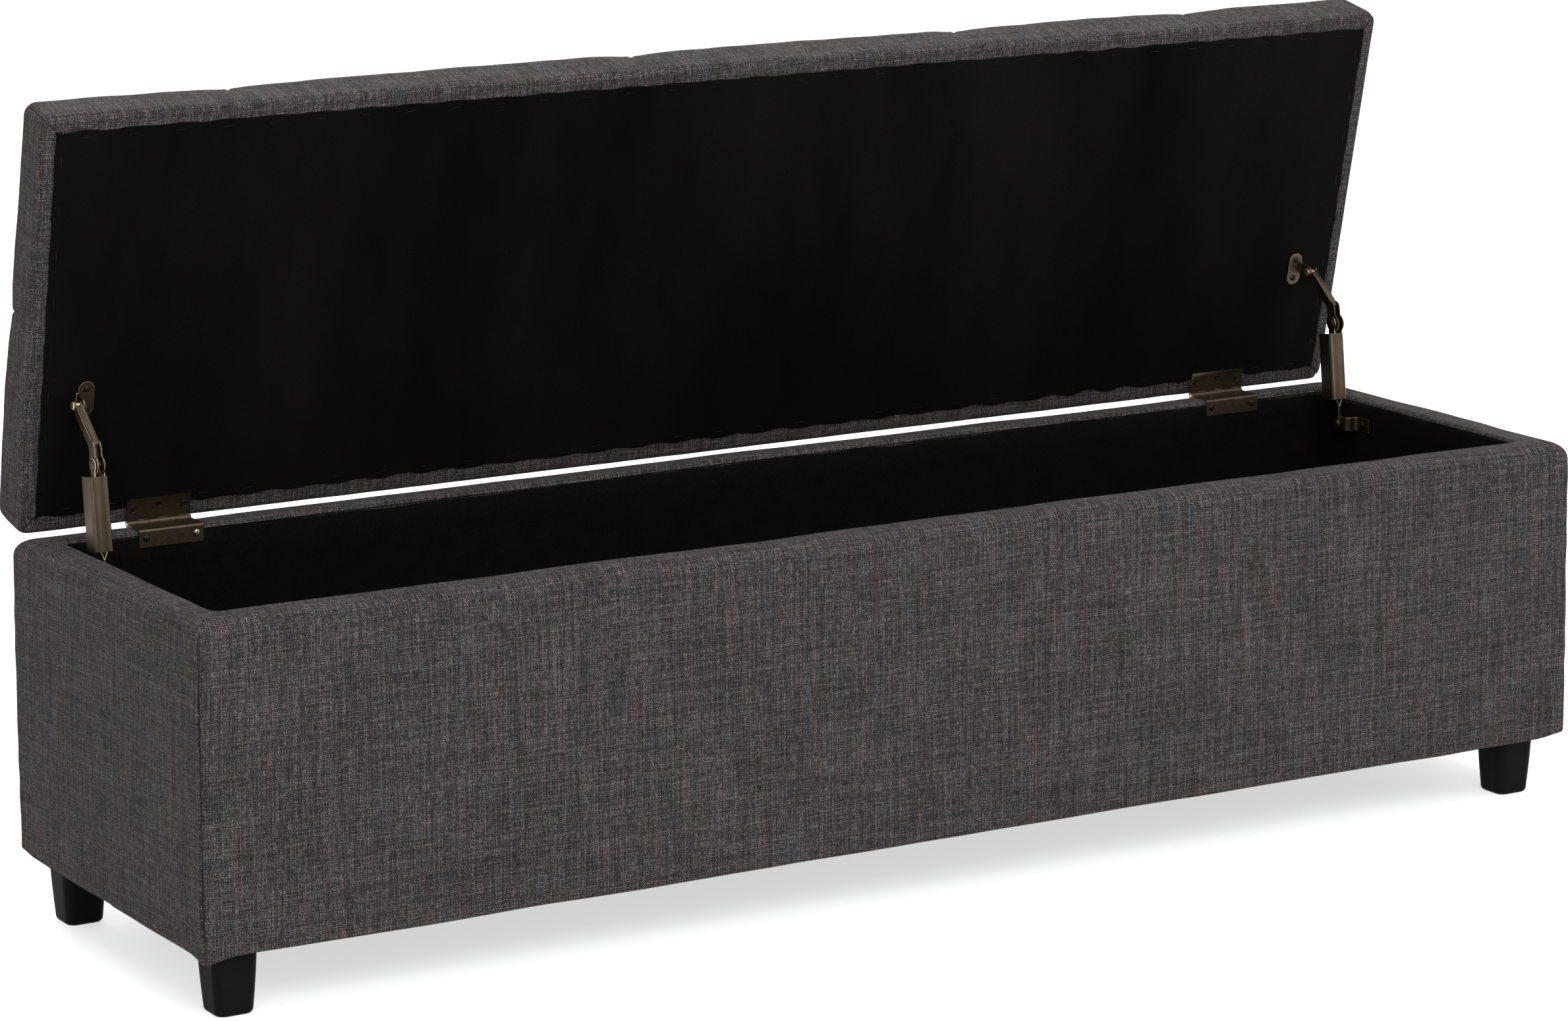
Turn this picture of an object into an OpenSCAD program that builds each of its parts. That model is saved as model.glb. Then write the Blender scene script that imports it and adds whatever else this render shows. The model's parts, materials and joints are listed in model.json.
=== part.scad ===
// Upholstered storage bench with a lift-up lid on two cranked hinges and two
// folding lid stays. Millimetres, +Z up, X along the bench, Y towards the back.
// The lid stands open; lid parts are drawn closed about the hinge axis and turned.

/* [Box] */
// Length of the bench
bench_l = 1500; // [1300:10:1600]
// Depth of the box, front to back
bench_d = 410; // [390:5:460]
// Height of the padded box without its feet
body_h = 300; // [290:5:340]
// Thickness of a padded wall
wall_t = 36; // [34:1:40]
// Radius of the outer roll of the rim
rim_r = 16; // [12:1:18]
// Radius of the inner roll of the rim
rim_in_r = 5; // [4:0.5:6]

/* [Boards and cloth] */
// Thickness of the wall panels
panel_t = 18; // [15:1:20]
// Thickness of the floor board
floor_t = 12; // [9:1:15]
// Thickness of the lid board
lid_board_t = 15; // [12:1:18]
// Thickness of the woven upholstery with its backing
fabric_t = 1.5; // [1:0.1:1.5]
// Thickness of the cavity lining
lining_t = 2; // [2:0.1:2.5]
// Thickness of the black dust cloth
cloth_t = 0.8; // [0.6:0.1:1]
// How far the upholstery turns down into the cavity
turn_in = 5; // [5:1:30]

/* [Feet] */
// Height of a foot
foot_h = 62; // [50:1:80]
// Side of a foot at its top
foot_top = 45; // [40:1:50]
// Side of a foot at the floor
foot_base = 38; // [32:1:42]
// Distance of a foot's centre from the two outer faces
foot_inset = 40; // [36:1:60]
// Diameter of the foot bolt
bolt_d = 8; // [6:1:8]

/* [Lid] */
// Length of the lid
lid_l = 1486; // [1280:2:1590]
// Depth of the lid
lid_d = 408; // [390:1:460]
// Thickness of the padded lid
lid_t = 63; // [55:1:70]
// Angle at which the open lid stands
lid_angle = 77.5; // [70:0.5:80]
// Radius of the lid's upper edges
lid_r = 18; // [12:1:22]
// Distance between buttons of one row
tuft_pitch = 330; // [280:5:340]
// Distance between rows of buttons
tuft_row = 100; // [80:5:120]

/* [Hinges] */
// Width of a hinge
hinge_w = 65; // [60:1:80]
// Distance of a hinge's middle from the middle of the bench
hinge_x = 604; // [400:1:620]
// Radius of the hinge knuckle
knuckle_r = 3; // [3:0.5:4]
// Thickness of the hinge leaves
leaf_t = 1.5; // [1.2:0.1:1.5]
// Reach of the upper leaf from the hinge axis
leaf_reach = 24; // [22:1:30]

/* [Stays] */
// Width of the folded channel of the upper arm
arm_w = 7.4; // [7:0.1:8]
// Thickness of the stay's strips
strip_t = 1.2; // [1:0.1:1.3]
// Length of the spring cover
cover_l = 69; // [60:1:70]
// Width of the spring cover
cover_w = 18.5; // [18:0.5:20]
// Depth of the spring cover
cover_d = 19.5; // [18:0.5:20]

/* [Hidden] */
$fn = 48;
eps = 0.01;

LEFT = -1;
RIGHT = 1;

// Box levels and half sizes
half_l = bench_l / 2;
half_d = bench_d / 2;
rim_z = foot_h + body_h;
floor_z = foot_h + fabric_t;
panel_z = floor_z + floor_t;
rim_pad = 4;
panel_top = rim_z - rim_pad;
pad_t = wall_t - lining_t - panel_t - fabric_t;
board_l = bench_l - 2 * (fabric_t + pad_t);
board_d = bench_d - 2 * (fabric_t + pad_t);
room_l = board_l - 2 * panel_t;
room_d = board_d - 2 * panel_t;
lip_w = 30;
lining_top = rim_z - turn_in;

// Hinge axis: its height over the rim and its distance from the back face
hinge_y = half_d - wall_t + 28;
hinge_z = rim_z + leaf_t;
flange_y = hinge_y - half_d + wall_t;

// Lid levels, from the hinge axis with the lid closed
lid_gap = 3;
lid_z0 = lid_gap + cloth_t;
lid_z1 = lid_z0 + lid_t;
lid_edge_r = 6;
lid_plan_r = 14;
lid_board_in = 8;
lid_border = 15;
lid_lip = 35;

// The origin is under the middle of the open bench
lid_back = hinge_y + lid_r - lid_r * cos(lid_angle) + (lid_z1 - lid_r) * sin(lid_angle);
centre_y = (half_d - lid_back) / 2;

// Buttons: two rows of four and a middle row of five
button_r = 12.5;
button_h = 7;
pocket_h = 11;
button_at = [
    for (row = [-1, 0, 1], k = row == 0 ? [-2 : 2] : [-1.5 : 1.5])
        [k * tuft_pitch, -lid_d / 2 + row * tuft_row]
];

// Stay pivots in the Y-Z plane, from the hinge axis; the lid pivot with the lid closed
stay_x = half_l - wall_t - 16;
foot_pivot = [-87, -27.5];
knee_pivot = [-81, 77.5];
lid_pivot = [-131, -10];
lid_pivot_open = [
    lid_pivot.x * cos(lid_angle) + lid_pivot.y * sin(lid_angle),
    lid_pivot.y * cos(lid_angle) - lid_pivot.x * sin(lid_angle)
];
arm_bend = knee_pivot + [4, 16];
cover_foot = [-83, -2.5];
cover_lean = 6.7;
rivet_r = 2.5;
knee_rivet_r = 3;
fit = 0.05;
ear_gap = 4;
blade_top = knee_pivot.y - 86.5;
cover_wall = 1.5;

// ---- placing ----

module on_box() translate([0, centre_y, 0]) children();

module on_axis() translate([0, centre_y + hinge_y, hinge_z]) children();

module on_lid() on_axis() rotate([-lid_angle, 0, 0]) children();

module on_side(side) mirror([side < 0 ? 1 : 0, 0, 0]) children();

// Flat shape in the Y-Z plane, given thickness along +X from x0
module plate_x(x0, t) translate([x0, 0, 0]) rotate([90, 0, 90]) linear_extrude(t) children();

module along_x(l) rotate([90, 0, 90]) linear_extrude(l, center = true) children();

module along_y(l) rotate([90, 0, 0]) linear_extrude(l, center = true) children();

module pin_x(r, x0, x1) translate([x0, 0, 0]) rotate([0, 90, 0]) cylinder(r = r, h = x1 - x0);

// ---- flat shapes ----

// Point at angle t and distance r from p
function around(p, r, t) = p + r * [cos(t), sin(t)];

// Bar with round ends from a to b
module bar2d(a, b, w) {
    lie = atan2(b.y - a.y, b.x - a.x);
    polygon(concat(
        [for (t = [-90 : 10 : 90]) around(b, w / 2, lie + t)],
        [for (t = [90 : 10 : 270]) around(a, w / 2, lie + t)]
    ));
}

// Section of the box from z0 to z1 with both top corners rolled
module rolled_section(w, z0, z1, r) {
    translate([-w / 2, z0]) square([w, z1 - r - z0]);
    translate([-w / 2 + r, z0]) square([w - 2 * r, z1 - z0]);
    for (s = [-1, 1]) translate([s * (w / 2 - r), z1 - r]) circle(r);
}

// Section of the cavity: straight sides that flare over the inner roll of the rim
module flared_section(w, z0, z1, r) {
    translate([-w / 2, z0]) square([w, z1 - z0 + 1]);
    difference() {
        translate([-w / 2 - r, z1 - r]) square([w + 2 * r, r + 1]);
        for (s = [-1, 1]) translate([s * (w / 2 + r), z1 - r]) circle(r);
    }
}

// Section of the lid: upper corners of radius rt, lower corners of radius rb
module lid_section(w, z0, z1, rt, rb) {
    translate([-w / 2 + rt, z0]) square([w - 2 * rt, z1 - z0]);
    translate([-w / 2, z0 + rb]) square([w, z1 - z0 - rb - rt]);
    translate([-w / 2 + rb, z0]) square([w - 2 * rb, z1 - z0 - rt]);
    for (s = [-1, 1]) translate([s * (w / 2 - rt), z1 - rt]) circle(rt);
    for (s = [-1, 1]) translate([s * (w / 2 - rb), z0 + rb]) circle(rb);
}

module rounded_plan(l, d, r) {
    square([l - 2 * r, d], center = true);
    square([l, d - 2 * r], center = true);
    for (sx = [-1, 1], sy = [-1, 1]) translate([sx * (l / 2 - r), sy * (d / 2 - r)]) circle(r);
}

// ---- forms of the box ----

// Outside of the box, set in by the given distance
module box_form(inset) intersection() {
    along_x(bench_l) rolled_section(bench_d - 2 * inset, foot_h + inset, rim_z - inset, rim_r - inset);
    along_y(bench_d) rolled_section(bench_l - 2 * inset, foot_h + inset, rim_z - inset, rim_r - inset);
}

// Cavity, grown by the given distance
module cavity_form(grow) intersection() {
    along_x(bench_l)
        flared_section(bench_d - 2 * wall_t + 2 * grow, floor_z, rim_z - grow, rim_in_r - grow);
    along_y(bench_d)
        flared_section(bench_l - 2 * wall_t + 2 * grow, floor_z, rim_z - grow, rim_in_r - grow);
}

module block(x0, x1, y0, y1, z0, z1) translate([x0, y0, z0]) cube([x1 - x0, y1 - y0, z1 - z0]);

module centred_block(l, d, z0, z1) block(-l / 2, l / 2, -d / 2, d / 2, z0, z1);

// All foam of the walls before it is cut into four pads
module foam_ring() difference() {
    box_form(fabric_t);
    cavity_form(fabric_t);
    centred_block(room_l, room_d, 0, rim_z + 1);
    centred_block(board_l, board_d, 0, panel_top);
}

// ---- fasteners ----

// Countersunk wood screw, head face at the origin, pointing along +Z
module wood_screw(l) {
    cylinder(r1 = 4, r2 = 2, h = 3);
    cylinder(r = 2, h = l);
}

// Pan head screw with a cross recess, seat at the origin, pointing along +Z
module pan_screw(l, head_r = 3.3, head_h = 1.8, shank_r = 1.75) {
    difference() {
        translate([0, 0, -head_h]) cylinder(r1 = head_r - 0.9, r2 = head_r, h = head_h);
        for (a = [0, 90]) rotate(a) translate([-1.9, -0.35, -head_h - 1]) cube([3.8, 0.7, 2]);
    }
    cylinder(r = shank_r, h = l);
}

// Countersunk leaf screw, head face at the origin, pointing along +Z, with or without its recess
module leaf_screw(l, recess, head_r = 3.3, head_h = 1.5, shank_r = 1.75) difference() {
    union() {
        cylinder(r1 = head_r, r2 = shank_r, h = head_h);
        cylinder(r = shank_r, h = l);
    }
    if (recess) for (a = [0, 90]) rotate(a) translate([-1.9, -0.35, -1]) cube([3.8, 0.7, 1.8]);
}

module panel_screws_solid() {
    for (sx = [-1, 1], sy = [-1, 1], z = [110, 180, 250, 320])
        translate([sx * (room_l + panel_t) / 2, sy * board_d / 2, z])
            rotate([sy * 90, 0, 0]) wood_screw(50);
    for (sy = [-1, 1], x = [-600 : 240 : 600])
        translate([x, sy * (room_d + panel_t) / 2, floor_z]) wood_screw(45);
    for (sx = [-1, 1], y = [-90, 90])
        translate([sx * (room_l + panel_t) / 2, y, floor_z]) wood_screw(45);
}

module at_feet() for (sx = [-1, 1], sy = [-1, 1])
    translate([sx * (half_l - foot_inset), sy * (half_d - foot_inset), 0]) children();

module hinge_lower_screws_solid() for (side = [LEFT, RIGHT], s = [-1, 1])
    translate([side * hinge_x + s * (hinge_w / 2 - 7), hinge_y - flange_y - leaf_t, hinge_z - 8.5])
        rotate([-90, 0, 0]) pan_screw(19);

module stay_base_screws_solid() for (side = [LEFT, RIGHT]) on_side(side)
    translate([half_l - wall_t - strip_t, hinge_y + foot_pivot.x - 23, hinge_z + foot_pivot.y])
        rotate([0, 90, 0]) pan_screw(16);

module hinge_upper_screws_solid(recess = false) for (side = [LEFT, RIGHT], p = [[-25.5, -14], [0, -17], [25.5, -14]])
    translate([side * hinge_x + p.x, p.y, lid_gap - leaf_t]) leaf_screw(15, recess);

module stay_lid_screws_solid() for (side = [LEFT, RIGHT], y = [-121, -141.5]) on_side(side)
    translate([stay_x - 14, y, lid_gap - leaf_t]) pan_screw(15);

// ---- box ----

module bottom_board() color("burlywood") on_box() difference() {
    centred_block(board_l, board_d, floor_z, panel_z);
    panel_screws_solid();
    at_feet() {
        cylinder(r = 5, h = rim_z);
        translate([0, 0, panel_z - 1.5]) cylinder(r = 11, h = 5);
    }
}

module long_panel(side) difference() {
    block(-board_l / 2, board_l / 2, min(side * room_d, side * board_d) / 2,
        max(side * room_d, side * board_d) / 2, panel_z, panel_top);
    panel_screws_solid();
    hinge_lower_screws_solid();
}

module front_panel() color("burlywood") on_box() long_panel(-1);

module back_panel() color("burlywood") on_box() long_panel(1);

module end_panel(side) difference() {
    block(min(side * room_l, side * board_l) / 2, max(side * room_l, side * board_l) / 2,
        -room_d / 2, room_d / 2, panel_z, panel_top);
    panel_screws_solid();
    stay_base_screws_solid();
}

module left_end_panel() color("burlywood") on_box() end_panel(LEFT);

module right_end_panel() color("burlywood") on_box() end_panel(RIGHT);

module front_foam() color("lightyellow") on_box() intersection() {
    foam_ring();
    block(-half_l, half_l, -half_d, -room_d / 2, 0, rim_z);
}

module back_foam() color("lightyellow") on_box() intersection() {
    foam_ring();
    block(-half_l, half_l, room_d / 2, half_d, 0, rim_z);
}

module end_foam(side) on_box() intersection() {
    foam_ring();
    block(min(side * room_l / 2, side * half_l), max(side * room_l / 2, side * half_l),
        -room_d / 2, room_d / 2, 0, rim_z);
}

module left_foam() color("lightyellow") end_foam(LEFT);

module right_foam() color("lightyellow") end_foam(RIGHT);

module body_cover() color("dimgray") on_box() difference() {
    box_form(0);
    difference() {
        box_form(fabric_t);
        difference() {
            cavity_form(fabric_t);
            centred_block(room_l + eps, room_d + eps, 0, lining_top);
        }
    }
    cavity_form(0);
    centred_block(bench_l - 2 * lip_w, bench_d - 2 * lip_w, 0, floor_z + eps);
}

module body_lining() color("black") on_box() difference() {
    centred_block(room_l, room_d, panel_z, lining_top);
    centred_block(room_l - 2 * lining_t, room_d - 2 * lining_t, panel_z + lining_t, rim_z);
    stay_base_screws_solid();
    hinge_lower_screws_solid();
}

module bottom_dust_cover() color("black") on_box() difference() {
    centred_block(bench_l - 24, bench_d - 24, foot_h - cloth_t, foot_h);
    at_feet() cylinder(d = bolt_d + 0.1, h = rim_z);
}

// Crowns of the staples along a rectangle, from z0 down by the crown's height
module staple_ring(l, d, pitch, z0) {
    nx = round(l / pitch);
    ny = round(d / pitch);
    for (s = [-1, 1], k = [0 : nx - 1])
        translate([(k + 0.5) * l / nx - l / 2, s * d / 2, z0 - 0.3]) cube([10, 1.2, 0.6], center = true);
    for (s = [-1, 1], k = [0 : ny - 1])
        translate([s * l / 2, (k + 0.5) * d / ny - d / 2, z0 - 0.3]) cube([1.2, 10, 0.6], center = true);
}

module bottom_staples() color("silver") on_box()
    staple_ring(bench_l - 30, bench_d - 30, 62, foot_h - cloth_t);

module panel_screws() color("goldenrod") on_box() panel_screws_solid();

// Tapered foot with rounded edges and a blind hole for its bolt
module foot(sx, sy) on_box()
    translate([sx * (half_l - foot_inset), sy * (half_d - foot_inset), 0]) difference() {
        hull() {
            translate([0, 0, foot_h - cloth_t - 1]) linear_extrude(1) rounded_plan(foot_top, foot_top, 10);
            translate([0, 0, 4]) linear_extrude(1) rounded_plan(foot_base, foot_base, 9);
            translate([0, 0, 1.2]) linear_extrude(1) rounded_plan(foot_base - 3, foot_base - 3, 8);
            linear_extrude(1) rounded_plan(foot_base - 8, foot_base - 8, 6);
        }
        translate([0, 0, foot_h - 26]) cylinder(d = bolt_d + 0.1, h = 30);
    }

module foot_front_left() color("#1c1c1e") foot(-1, -1);

module foot_front_right() color("#1c1c1e") foot(1, -1);

module foot_back_left() color("#1c1c1e") foot(-1, 1);

module foot_back_right() color("#1c1c1e") foot(1, 1);

module foot_bolts() color("silver") on_box() at_feet()
    translate([0, 0, foot_h - 25]) cylinder(d = bolt_d, h = panel_z - foot_h + 24.5);

module tee_nuts() color("silver") on_box() at_feet() difference() {
    union() {
        translate([0, 0, floor_z]) cylinder(r = 5, h = floor_t);
        translate([0, 0, panel_z - 1.5]) cylinder(r = 11, h = 1.5);
    }
    cylinder(d = bolt_d + 0.1, h = rim_z);
}

// ---- hinges ----

knuckles = 6;
seg_w = hinge_w / knuckles;
seg_gap = 0.3;
hinge_pin_r = 1.5;

// Knuckles of one leaf: even places for parity 0, odd places for parity 1
module leaf_knuckles(parity) for (k = [parity : 2 : knuckles - 1])
    translate([-hinge_w / 2 + k * seg_w + seg_gap / 2, 0, 0])
        rotate([0, 90, 0]) cylinder(r = knuckle_r, h = seg_w - seg_gap);

// Room in a leaf for the knuckles of the other leaf
module knuckle_slots(parity) for (k = [parity : 2 : knuckles - 1])
    translate([-hinge_w / 2 + k * seg_w - seg_gap / 2, 0, 0])
        rotate([0, 90, 0]) cylinder(r = knuckle_r + 0.3, h = seg_w + seg_gap);

module hinge_upper_leaf(side) on_lid() translate([side * hinge_x, 0, 0]) difference() {
    union() {
        difference() {
            block(-hinge_w / 2, hinge_w / 2, -leaf_reach, 0, lid_gap - leaf_t, lid_gap);
            knuckle_slots(1);
        }
        leaf_knuckles(0);
    }
    pin_x(hinge_pin_r + fit, -hinge_w, hinge_w);
    translate([-side * hinge_x, 0, 0]) hinge_upper_screws_solid();
}

module hinge_upper_leaf_left() color("#6b5433") hinge_upper_leaf(LEFT);

module hinge_upper_leaf_right() color("#6b5433") hinge_upper_leaf(RIGHT);

// Cranked section of the lower leaf: flange on the rim, rounded bend, leaf down the inner face
module cranked_section() {
    bend_r = 2.5;
    low = -17;
    translate([-flange_y - leaf_t + bend_r, -leaf_t]) square([flange_y + leaf_t - bend_r, leaf_t]);
    translate([-flange_y - leaf_t, low]) square([leaf_t, -low - bend_r]);
    translate([-flange_y - leaf_t + bend_r, -bend_r]) intersection() {
        difference() {
            circle(bend_r);
            circle(bend_r - leaf_t);
        }
        translate([-bend_r, 0]) square(bend_r);
    }
}

module hinge_lower_leaf(side) on_axis() translate([side * hinge_x, 0, 0]) difference() {
    union() {
        difference() {
            along_x(hinge_w) cranked_section();
            knuckle_slots(0);
        }
        leaf_knuckles(1);
    }
    pin_x(hinge_pin_r, -hinge_w, hinge_w);
    for (s = [-1, 1]) translate([s * 16.5, -14, -5]) cylinder(r = 2.5, h = 10);
    translate([-side * hinge_x, -hinge_y, -hinge_z]) hinge_lower_screws_solid();
}

module hinge_lower_leaf_left() color("#6b5433") hinge_lower_leaf(LEFT);

module hinge_lower_leaf_right() color("#6b5433") hinge_lower_leaf(RIGHT);

module hinge_pin(side) on_axis() translate([side * hinge_x, 0, 0])
    pin_x(hinge_pin_r, -hinge_w / 2 + 0.2, hinge_w / 2 - 0.2);

module hinge_pin_left() color("#5a4529") hinge_pin(LEFT);

module hinge_pin_right() color("#5a4529") hinge_pin(RIGHT);

module hinge_lower_screws() color("#2b2622") on_box() hinge_lower_screws_solid();

module hinge_upper_screws() color("#2b2622") on_lid() hinge_upper_screws_solid(recess = true);

// ---- lid ----

// Outside of the closed lid, set in by the given distance
module lid_form(inset) translate([0, -lid_d / 2, 0]) intersection() {
    along_x(lid_l) lid_section(lid_d - 2 * inset, lid_z0 + inset, lid_z1 - inset,
        lid_r - inset, lid_edge_r - inset);
    along_y(lid_d) lid_section(lid_l - 2 * inset, lid_z0 + inset, lid_z1 - inset,
        lid_r - inset, lid_edge_r - inset);
    linear_extrude(lid_z1) rounded_plan(lid_l - 2 * inset, lid_d - 2 * inset, lid_plan_r - inset);
}

module lid_block(inset, z0, z1) translate([0, -lid_d / 2, 0])
    centred_block(lid_l - 2 * inset, lid_d - 2 * inset, z0, z1);

lid_board_z1 = lid_z0 + fabric_t + lid_board_t;

module at_buttons() for (p = button_at) translate([p.x, p.y, 0]) children();

module ties_solid() at_buttons()
    translate([0, 0, lid_z0 + fabric_t]) cylinder(r = 0.8, h = lid_z1 - pocket_h - lid_z0 - fabric_t);

module button_pockets() at_buttons() translate([0, 0, lid_z1 - pocket_h])
    cylinder(r = button_r + 0.2, h = pocket_h + 1);

module lid_screws_solid() {
    hinge_upper_screws_solid();
    stay_lid_screws_solid();
}

module lid_board() color("burlywood") on_lid() difference() {
    lid_block(lid_board_in, lid_z0 + fabric_t, lid_board_z1);
    ties_solid();
    lid_screws_solid();
}

module lid_foam() color("lightyellow") on_lid() difference() {
    lid_form(fabric_t);
    lid_block(lid_board_in, 0, lid_board_z1);
    button_pockets();
    ties_solid();
}

module lid_cover() color("dimgray") on_lid() difference() {
    lid_form(0);
    lid_form(fabric_t);
    lid_block(lid_lip, 0, lid_z0 + fabric_t + eps);
    button_pockets();
    hinge_upper_screws_solid();
}

module lid_buttons() color("dimgray") on_lid() at_buttons() translate([0, 0, lid_z1 - pocket_h]) {
    cylinder(r = button_r, h = button_h - 3);
    translate([0, 0, button_h - 3]) cylinder(r1 = button_r, r2 = button_r - 5, h = 3);
}

module button_ties() color("ivory") on_lid() ties_solid();

module lid_dust_cover() color("#141414") on_lid() difference() {
    lid_block(lid_border, lid_gap, lid_gap + cloth_t);
    lid_screws_solid();
}

module lid_staples() color("silver") on_lid() difference() {
    translate([0, -lid_d / 2, 0]) staple_ring(lid_l - 2 * lid_border - 14, lid_d - 2 * lid_border - 14, 46, lid_gap);
    for (side = [LEFT, RIGHT])
        translate([side * hinge_x, 0, 0]) centred_block(hinge_w + 12, 60, 0, 10);
}

// ---- stays, drawn for the right side ----

module stay_hole(p, r) translate([0, p.x, p.y]) pin_x(r, 0, half_l);

// Plate under the lid with an ear that carries the upper arm
module stay_lid_bracket(side) on_lid() on_side(side) difference() {
    union() {
        translate([stay_x - 14, -131.25, lid_gap - leaf_t]) linear_extrude(leaf_t) {
            rounded_plan(16, 34, 7.9);
            translate([2, -6.5]) square([8, 13]);
        }
        plate_x(stay_x - 5.7, leaf_t) {
            translate(lid_pivot) circle(6.5);
            translate([lid_pivot.x - 6.5, lid_pivot.y]) square([13, lid_gap - lid_pivot.y]);
        }
    }
    stay_hole(lid_pivot, rivet_r);
    stay_lid_screws_solid();
}

module stay_lid_bracket_left() color("#6b5433") stay_lid_bracket(LEFT);

module stay_lid_bracket_right() color("#6b5433") stay_lid_bracket(RIGHT);

// Rivet along X at p, heads outside x0 and x1
module rivet(p, r, x0, x1, head_r) translate([0, p.x, p.y]) {
    pin_x(r, x0, x1);
    translate([x0, 0, 0]) rotate([0, -90, 0]) cylinder(r1 = head_r, r2 = head_r - 1.2, h = 1.2);
    translate([x1, 0, 0]) rotate([0, 90, 0]) cylinder(r1 = head_r, r2 = head_r - 1.2, h = 1.2);
}

module stay_lid_rivet(side) on_lid() on_side(side)
    rivet(lid_pivot, rivet_r, stay_x - 5.7, stay_x + arm_w / 2 + 0.3, 4.5);

module stay_lid_rivet_left() color("#8a6d40") stay_lid_rivet(LEFT);

module stay_lid_rivet_right() color("#8a6d40") stay_lid_rivet(RIGHT);

// Side wall of the upper arm: cam at the knee, bend, straight run to the lid pivot
module upper_arm_profile() {
    bar2d(knee_pivot + [-1, 0], knee_pivot + [1.3, 0.3], 18);
    bar2d(knee_pivot + [2, 4], arm_bend, 13);
    bar2d(arm_bend, lid_pivot_open, 9);
}

module stay_upper_arm(side) on_axis() on_side(side) difference() {
    union() {
        plate_x(stay_x - arm_w / 2, strip_t) upper_arm_profile();
        plate_x(stay_x + arm_w / 2 - strip_t, strip_t) upper_arm_profile();
        run = lid_pivot_open - arm_bend;
        up = [-run.y, run.x] / norm(run) * (4.5 - strip_t / 2);
        plate_x(stay_x - arm_w / 2, arm_w) bar2d(arm_bend + up, lid_pivot_open + up - run / 12, strip_t);
    }
    stay_hole(lid_pivot_open, rivet_r + fit);
    stay_hole(knee_pivot, knee_rivet_r + fit);
}

module stay_upper_arm_left() color("#6b5433") stay_upper_arm(LEFT);

module stay_upper_arm_right() color("#6b5433") stay_upper_arm(RIGHT);

// One strip seen along Y: ear at the knee, joggle under the cover, blade at the foot
module strip_section(s) scale([s, 1]) polygon([
    [0, foot_pivot.y - 8], [strip_t, foot_pivot.y - 8], [strip_t, blade_top],
    [ear_gap + strip_t, blade_top + 10], [ear_gap + strip_t, knee_pivot.y + 8],
    [ear_gap, knee_pivot.y + 8], [ear_gap, blade_top + 10.5], [0, blade_top + 0.5]
]);

module stay_lower_arm(side) on_axis() on_side(side) difference() {
    intersection() {
        plate_x(stay_x - 10, 20) {
            bar2d(foot_pivot, knee_pivot, 10);
            translate(knee_pivot) circle(7);
        }
        translate([stay_x, foot_pivot.x, 0]) union() {
            along_y(60) strip_section(1);
            along_y(60) strip_section(-1);
        }
    }
    stay_hole(foot_pivot, rivet_r);
    stay_hole(knee_pivot, knee_rivet_r);
    // Room for the front wall of the cover
    at_cover() translate([-10, -cover_d, -5]) cube([20, cover_d / 2 + 2 + fit, cover_l + 5 + fit]);
}

module stay_lower_arm_left() color("#4a3a24") stay_lower_arm(LEFT);

module stay_lower_arm_right() color("#4a3a24") stay_lower_arm(RIGHT);

module at_cover() translate([stay_x, cover_foot.x, cover_foot.y]) rotate([-cover_lean, 0, 0]) children();

// Channel open to the back, with a fluted front that is rounded at both corners
module cover_section() difference() {
    union() {
        translate([-cover_w / 2, -cover_d / 2 + 4]) square([cover_w, cover_d - 4]);
        translate([-cover_w / 2 + 4, -cover_d / 2]) square([cover_w - 8, cover_d]);
        for (s = [-1, 1]) translate([s * (cover_w / 2 - 4), -cover_d / 2 + 4]) circle(4);
    }
    translate([-cover_w / 2 + cover_wall, -cover_d / 2 + 2]) square([cover_w - 2 * cover_wall, cover_d]);
    for (s = [-1, 1]) translate([s * 4.4, -cover_d / 2 - 4.1]) circle(5.2);
}

module stay_cover(side) on_axis() on_side(side) {
    at_cover() linear_extrude(cover_l) cover_section();
    // Spacers between the cover's sides and the strips
    for (s = [-1, 1], t = [0.38, 0.66])
        translate([stay_x + s * (ear_gap + strip_t + cover_w / 2 - cover_wall + eps) / 2,
            foot_pivot.x + t * (knee_pivot.x - foot_pivot.x), foot_pivot.y + t * (knee_pivot.y - foot_pivot.y)])
            rotate([0, 90, 0])
                cylinder(r = 3, h = cover_w / 2 - cover_wall - ear_gap - strip_t + eps, center = true);
}

module stay_cover_left() color("#6b5433") stay_cover(LEFT);

module stay_cover_right() color("#6b5433") stay_cover(RIGHT);

// Close-wound spring
spring_r = 3.4;
wire_r = 0.9;
spring_turns = 24;

module stay_spring(side) on_axis() on_side(side) at_cover()
    translate([0, -cover_d / 2 + 2.2 + spring_r, 4]) rotate_extrude() {
        for (k = [0 : spring_turns - 1]) translate([spring_r - wire_r, wire_r + k * 1.7 * wire_r]) circle(wire_r);
        translate([spring_r - 1.3 * wire_r, wire_r]) square([0.5 * wire_r, (spring_turns - 1) * 1.7 * wire_r]);
    }

module stay_spring_left() color("silver") stay_spring(LEFT);

module stay_spring_right() color("silver") stay_spring(RIGHT);

module stay_knee_rivet(side) on_axis() on_side(side)
    rivet(knee_pivot, knee_rivet_r, stay_x - ear_gap - strip_t, stay_x + ear_gap + strip_t, 5);

module stay_knee_rivet_left() color("#8a6d40") stay_knee_rivet(LEFT);

module stay_knee_rivet_right() color("#8a6d40") stay_knee_rivet(RIGHT);

// The foot rivet stops short of the base bracket: this pivot is the open one
module stay_foot_rivet(side) on_axis() on_side(side) translate([0, foot_pivot.x, foot_pivot.y]) {
    pin_x(rivet_r, stay_x - strip_t, stay_x + strip_t + 0.1);
    translate([stay_x - strip_t, 0, 0]) rotate([0, -90, 0]) cylinder(r1 = 4.5, r2 = 3.3, h = 1.3);
}

module stay_foot_rivet_left() color("#8a6d40") stay_foot_rivet(LEFT);

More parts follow.
